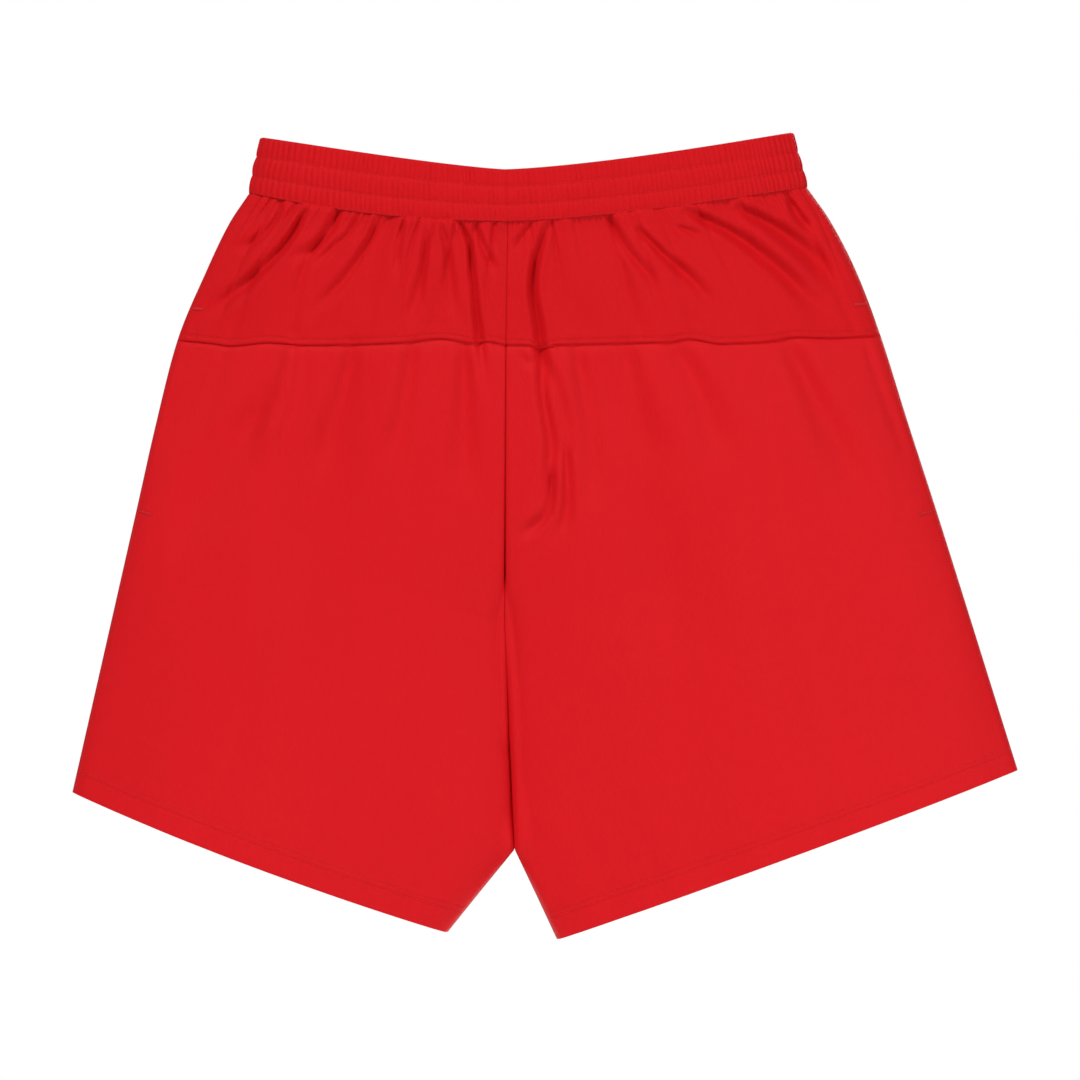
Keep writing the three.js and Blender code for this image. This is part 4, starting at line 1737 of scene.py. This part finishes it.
@dataclass
class Topstitching:
    """Every row of thread on the outside of the body, and the bartacks.

    Attributes:
        cloth: the shape that the garment hangs in.
        finishes: the garment's finishes.
        stitching: how the rows are laid.
        skin: mm from the middle of the cloth to where thread lies.
        pocket: levels of the top and foot of the pocket mouth.
        tack: where a bartack starts and ends, as shares across the back.
        tack_turns: turning points of its zigzag.
        tack_radius: half its thread's thickness, mm.
    """

    cloth: HungCloth
    finishes: Finishes
    stitching: Stitching = field(default_factory=Stitching)
    skin: float = 0.3
    pocket: tuple[float, float] = (0.78, 2.0)
    tack: tuple[float, float] = (0.958, 0.992)
    tack_turns: int = 61
    tack_radius: float = 0.19

    def across_row(
        self, mesh: ClothMesh, half: HalfPattern, face: Face, level: float, ends: tuple[float, float]
    ) -> None:
        """Sew a row across one face.

        Args:
            mesh: the piece that gets it.
            half: the half it is on.
            face: the back or the front.
            level: how far down it lies.
            ends: where it starts and ends, as shares from the middle to the side.
        """
        across = np.linspace(*ends, 500)
        path, normals = self.cloth.frames(half, face, np.full(across.shape, level), across, self.skin)
        self.stitching.sew(mesh, path, normals)

    def build_yoke_row(self, half: HalfPattern) -> None:
        """Topstitch the yoke just above its seam.

        Args:
            half: the half it is on.
        """
        hand = half.hand.label
        mesh = ClothMesh(f"yoke_topstitch_thread_{hand}")
        level = YOKE_LEVEL - self.cloth.topstitch_gap / self.cloth.level_lengths[0]
        self.across_row(mesh, half, Face.BACK, level, (0.004, 0.985))
        mesh.finish(self.finishes.thread, f"yoke_topstitch_{hand}", Slot.THREAD)

    def build_hem_rows(self, half: HalfPattern) -> None:
        """Sew both rows round one leg's hem.

        Args:
            half: the half it is on.
        """
        hand = half.hand.label
        for row, height in zip(("upper", "lower"), self.cloth.hem_rows, strict=True):
            mesh = ClothMesh(f"hem_thread_{row}_{hand}")
            level = HEM_LEVEL - height / self.cloth.level_lengths[2]
            for face in Face:
                self.across_row(mesh, half, face, level, (0.006, 0.994))
            mesh.finish(self.finishes.thread, f"hem_stitch_{row}_{hand}", Slot.THREAD)

    def build_pocket(self, half: HalfPattern) -> None:
        """Topstitch the pocket mouth on the front and bartack both its ends.

        Args:
            half: the half it is on.
        """
        hand = half.hand.label
        levels = np.linspace(*self.pocket, 300)
        across = np.full(levels.shape, 0.97)
        path, normals = self.cloth.frames(half, Face.FRONT, levels, across, self.skin)
        mesh = ClothMesh(f"pocket_mouth_thread_{hand}")
        self.stitching.sew(mesh, path, normals)
        mesh.finish(self.finishes.thread, f"pocket_topstitch_{hand}", Slot.THREAD)
        for end, level in zip(("upper", "lower"), self.pocket, strict=True):
            turns = np.arange(self.tack_turns)
            length = self.cloth.level_lengths[0 if level < YOKE_LEVEL else 1]
            levels = level + np.where(turns % 2, 1.0, -1.0) / length
            across = np.linspace(*self.tack, self.tack_turns)
            path, _ = self.cloth.frames(half, Face.BACK, levels, across, self.skin + 0.2)
            mesh = ClothMesh(f"bartack_thread_{end}_{hand}")
            mesh.add_zigzag(path, self.tack_radius * MM)
            mesh.finish(self.finishes.thread, f"bartack_{end}_{hand}", Slot.THREAD)

    def build(self) -> None:
        """Sew every row of both halves."""
        for half in HALVES.values():
            self.build_yoke_row(half)
            self.build_hem_rows(half)
            self.build_pocket(half)


@dataclass
class Inside:
    """What only shows inside: overlocked seams, pocket bags and the blank care label.

    Attributes:
        cloth: the shape that the garment hangs in.
        finishes: the garment's finishes.
        seam_width: mm of each trimmed seam.
        below_waist: the level at which the inside seams start.
        seam_points: points along a side seam, an inseam or a rise seam.
        side_inset: mm from the side edge to the side seam's stitching.
        inseam_inset: the same at the inseam, from the legs' touching edge.
        rise_inset: the same at the middle seam.
        yoke_inset: the same below the yoke seam.
        rise_foot: the level at which the middle seam ends, just above the crotch.
        inseam_top: the level at which the inseams start, just below it.
        yoke_span: where the yoke seam's overlock starts and ends, from the middle to the side.
        bag_levels: levels of the top and foot of a pocket bag.
        bag_span: where the bag starts and ends, as shares from the middle to the side.
        bag_widths: metres across both layers of the left and of the right bag, laid flat; not used.
        label_span: where the care label starts and ends across the left half.
        label_thickness: mm of ribbon.
    """

    cloth: HungCloth
    finishes: Finishes
    seam_width: float = 5.5
    below_waist: float = 0.1
    seam_points: int = 160
    side_inset: float = 1.4
    inseam_inset: float = 3.0
    rise_inset: float = 0.6
    yoke_inset: float = 0.5
    rise_foot: float = 1.88
    inseam_top: float = 2.12
    yoke_span: tuple[float, float] = (0.04, 0.95)
    bag_levels: tuple[float, float] = (0.6, 2.25)
    bag_span: tuple[float, float] = (0.45, 0.93)
    bag_widths: tuple[float, float] = (0.28, 0.33)
    label_span: tuple[float, float] = (0.03, 0.2)
    label_thickness: float = 0.35

    def edge_seam(self, half: HalfPattern, at_side: bool, ends: tuple[float, float]) -> None:
        """Overlock the side seam or the inseam, standing inwards from the edge.

        Args:
            half: the half it is on.
            at_side: True for the side seam, False for the inseam.
            ends: levels of its top and foot.
        """
        count = self.seam_points
        levels = np.linspace(*ends, count)
        middle = np.stack(self.cloth.flat_place(half, Face.BACK, levels, np.zeros(count)), axis=1)
        side = np.stack(self.cloth.flat_place(half, Face.BACK, levels, np.ones(count)), axis=1)
        way = (middle - side) if at_side else (side - middle)
        way /= np.linalg.norm(way, axis=1, keepdims=True)
        start = side if at_side else middle
        first = self.side_inset if at_side else self.inseam_inset
        edges = [start + way * distance for distance in (first, first + self.seam_width)]
        near, far = (np.stack([e[:, 0], np.zeros(count), e[:, 1]], axis=1) * MM for e in edges)
        lift = np.tile((0.0, 1.0, 0.0), (count, 1))
        kind = "side" if at_side else "inseam"
        name = f"overlock_{kind}_{half.hand.label}"
        Overlock().build(f"wrapped_{name}", name, near, far, lift, self.finishes)

    def rise_seam(self, face: Face) -> None:
        """Overlock the middle seam, pressed to the wearer's right.

        Args:
            face: the back or the front.
        """
        levels = np.linspace(self.below_waist, self.rise_foot, self.seam_points)
        edges = []
        for distance in (self.rise_inset, self.rise_inset + self.seam_width):
            across = np.full(levels.shape, distance / 260.0)
            edges.append(self.cloth.frames(RIGHT_HALF, face, levels, across, -1.0))
        name = f"overlock_{face.name.lower()}_rise"
        near, normals = edges[0]
        Overlock().build(f"wrapped_{name}", name, near, edges[1][0], normals, self.finishes)

    def yoke_seam(self, half: HalfPattern) -> None:
        """Overlock the yoke seam, pressed down.

        Args:
            half: the half it is on.
        """
        across = np.linspace(*self.yoke_span, 200)
        edges = []
        for distance in (self.yoke_inset, self.yoke_inset + self.seam_width):
            level = np.full(across.shape, YOKE_LEVEL + distance / self.cloth.level_lengths[1])
            edges.append(self.cloth.frames(half, Face.BACK, level, across, -1.2))
        name = f"overlock_yoke_{half.hand.label}"
        near, normals = edges[0]
        Overlock().build(f"wrapped_{name}", name, near, edges[1][0], normals, self.finishes)

    def pocket_bag(self, half: HalfPattern) -> None:
        """Hang a flat two-layer bag behind the front panel.

        Args:
            half: the half it is on.
        """
        hand = half.hand.label
        levels = np.linspace(*self.bag_levels, 90)[:, None]
        across = np.linspace(*self.bag_span, 60)[None]
        inner, outer = self.bag_span
        swell = np.clip(np.sin(math.pi * (across - inner) / (outer - inner)), 0.0, 1.0) ** 0.5
        swell = swell * np.clip((self.bag_levels[1] - levels) / 0.12, 0.0, 1.0) ** 0.5
        ripple = 0.5 * self.cloth.noise["soft"].at(levels * 5.0, across * 9.0)
        near = self.cloth.places(half, Face.FRONT, levels, across, -1.3)
        far = self.cloth.places(half, Face.FRONT, levels, across, -1.6 - (1.1 + ripple) * swell)
        points = np.concatenate([near, far[:, ::-1]], axis=1)
        if half.hand is Hand.LEFT:
            points = points[:, ::-1]
        wide = np.linspace(0.0, 0.3, points.shape[1])
        grain = np.stack(np.broadcast_arrays(wide[None], levels * 0.15), axis=-1)
        mesh = ClothMesh(f"pocket_pouch_{hand}")
        mesh.add_grid(points, grain, closed=True)
        bag = mesh.finish(self.finishes.mesh, f"pocket_bag_{hand}", Slot.MESH)

    def care_label(self) -> None:
        """Hang a blank folded ribbon from the waist seam, beside mid-back."""
        down = np.linspace(0.0, 1.0, 40)[:, None]
        across = np.linspace(*self.label_span, 24)[None]
        start, end = self.label_span
        curl = -1.6 - 2.2 * down**2 - 0.5 * np.cos(math.pi * (across - start) / (end - start)) * down
        points = self.cloth.places(LEFT_HALF, Face.BACK, self.below_waist + 0.58 * down, across, curl)
        grain = np.stack(np.broadcast_arrays(across * 0.2, down * 0.055), axis=-1)
        mesh = ClothMesh("blank_care_label")
        mesh.add_grid(points, grain)
        label = mesh.finish(self.finishes.label, "care_label", Slot.LABEL, self.label_thickness)

    def build(self) -> None:
        """Make everything inside."""
        hem_top = HEM_LEVEL - (self.cloth.hem_depth + 1.0) / self.cloth.level_lengths[2]
        for half in HALVES.values():
            self.edge_seam(half, True, (self.below_waist, hem_top))
            self.edge_seam(half, False, (self.inseam_top, hem_top))
            self.yoke_seam(half)
            self.pocket_bag(half)
        for face in Face:
            self.rise_seam(face)
        self.care_label()


# --------------------------------------------------------------------------- studio


@dataclass(frozen=True)
class SoftBox:
    """One round soft light.

    Attributes:
        name: its name.
        place: where it hangs, metres.
        size: metres across.
        power: watts.
    """

    name: str
    place: tuple[float, float, float]
    size: float
    power: float

    def build(self, target: tuple[float, float, float]) -> None:
        """Hang it so that it faces a point.

        Args:
            target: the point, metres.
        """
        data = bpy.data.lights.new(self.name, "AREA")
        data.shape = "DISK"
        data.size = self.size
        data.energy = self.power
        lamp = bpy.data.objects.new(self.name, data)
        lamp.location = self.place
        away = np.array(self.place) - np.array(target)
        lamp.rotation_euler = (
            math.acos(away[2] / np.linalg.norm(away)),
            0.0,
            math.atan2(away[1], away[0]) + math.pi / 2.0,
        )
        bpy.context.scene.collection.objects.link(lamp)


@dataclass
class Studio:
    """A plain pale floor, soft lights and a long lens square on to the back.

    Attributes:
        field_width: metres that the view spans in the plane of the side seams.
        aim: (x, z) of the middle of the view, metres.
        lens: mm.
        floor_drop: metres from the waist to the floor.
        floor_radius: metres from the floor's middle to its rim.
        fade: metres from the middle at which the floor starts to fade and is white.
        surround: strength of the even light from all round.
        lit: the point that the soft boxes face, metres.
        boxes: the soft boxes.
    """

    field_width: float = 0.7992
    aim: tuple[float, float] = (0.0096, -0.2723)
    lens: float = 300.0
    floor_drop: float = 0.93
    floor_radius: float = 1.4
    fade: tuple[float, float] = (0.55, 1.35)
    surround: float = 0.3
    lit: tuple[float, float, float] = (0.0, 0.0, -0.28)
    boxes: tuple[SoftBox, ...] = (
        SoftBox("key_soft_box", place=(-1.2, -1.9, 1.9), size=1.0, power=56.0),
        SoftBox("fill_soft_box", place=(1.8, -1.9, 0.5), size=1.2, power=25.0),
        SoftBox("front_soft_box", place=(0.9, 2.6, 0.9), size=1.8, power=62.0),
    )

    def build_camera(self) -> None:
        """Stand the camera behind the wearer."""
        data = bpy.data.cameras.new("camera")
        data.lens = self.lens
        distance = self.field_width * self.lens / data.sensor_width
        camera = bpy.data.objects.new("camera", data)
        camera.location = (self.aim[0], -distance, self.aim[1])
        camera.rotation_euler = (math.pi / 2.0, 0.0, 0.0)
        bpy.context.scene.collection.objects.link(camera)
        bpy.context.scene.camera = camera

    def build_surround(self) -> None:
        """Light evenly from all round, before a white background."""
        world = bpy.data.worlds.new("studio")
        world.use_nodes = True
        tree = world.node_tree
        even = tree.nodes["Background"]
        even.inputs["Color"].default_value = (1.0, 1.0, 1.0, 1.0)
        even.inputs["Strength"].default_value = self.surround
        white = tree.nodes.new("ShaderNodeBackground")
        white.inputs["Strength"].default_value = 1.0
        white.inputs["Color"].default_value = (1.0, 1.0, 1.0, 1.0)
        ray = tree.nodes.new("ShaderNodeLightPath")
        choice = tree.nodes.new("ShaderNodeMixShader")
        tree.links.new(ray.outputs["Is Camera Ray"], choice.inputs["Fac"])
        tree.links.new(even.outputs["Background"], choice.inputs[1])
        tree.links.new(white.outputs["Background"], choice.inputs[2])
        tree.links.new(choice.outputs["Shader"], tree.nodes["World Output"].inputs["Surface"])
        bpy.context.scene.world = world

    def build_floor(self) -> None:
        """Lay a pale floor that fades to white at its rim."""
        rings, spokes = 24, 96
        radius = np.linspace(0.0, self.floor_radius, rings + 1)[1:]
        turn = np.linspace(0.0, 2.0 * math.pi, spokes, endpoint=False)
        x = radius[:, None] * np.cos(turn)[None]
        y = radius[:, None] * np.sin(turn)[None]
        points = np.stack([x, y, np.full(x.shape, -self.floor_drop)], axis=-1).reshape(-1, 3)
        centre = len(points)
        index = np.arange(rings * spokes).reshape(rings, spokes)
        after = np.roll(index, -1, axis=1)
        quads = np.stack([index[:-1], index[1:], after[1:], after[:-1]], axis=-1).reshape(-1, 4)
        fans = [(centre, int(a), int(b)) for a, b in zip(index[0], after[0], strict=True)]
        mesh = bpy.data.meshes.new("pale_floor")
        mesh.from_pydata([*points.tolist(), (0.0, 0.0, -self.floor_drop)], [], [*quads.tolist(), *fans])
        recipe = Recipe("pale_floor")
        place = recipe.node("ShaderNodeTexCoord")
        length = recipe.node("ShaderNodeVectorMath", operation="LENGTH")
        start, end = self.fade
        edge = recipe.node("ShaderNodeMapRange", From_Min=start, From_Max=end, To_Min=0.25, To_Max=1.0)
        flat = recipe.node("ShaderNodeVectorMath", operation="MULTIPLY")
        flat.inputs[1].default_value = (1.0, 1.0, 0.0)
        recipe.join(place.outputs["Object"], flat.inputs[0])
        recipe.join(flat.outputs["Vector"], length.inputs[0])
        recipe.join(length.outputs["Value"], edge.inputs["Value"])
        recipe.join(edge.outputs["Result"], recipe.shader.inputs["Emission Strength"])
        recipe.shader.inputs["Emission Color"].default_value = (1.0, 1.0, 1.0, 1.0)
        recipe.shader.inputs["Base Color"].default_value = (0.8, 0.8, 0.8, 1.0)
        recipe.shader.inputs["Roughness"].default_value = 0.9
        mesh.materials.append(recipe.material)
        floor = bpy.data.objects.new("pale_floor", mesh)
        bpy.context.scene.collection.objects.link(floor)

    def build(self) -> None:
        """Set up the studio."""
        bpy.context.scene.view_settings.view_transform = "Standard"
        self.build_surround()
        self.build_floor()
        for box in self.boxes:
            box.build(self.lit)
        self.build_camera()


def main() -> None:
    """Build the garment and the studio."""
    logging.basicConfig(level=logging.INFO, format="%(message)s")
    cloth = HungCloth()
    finishes = Finishes()
    Waistband(cloth, finishes).build()
    Body(cloth, finishes).build()
    Topstitching(cloth, finishes).build()
    Inside(cloth, finishes).build()
    Studio().build()


if __name__ == "__main__":
    main()
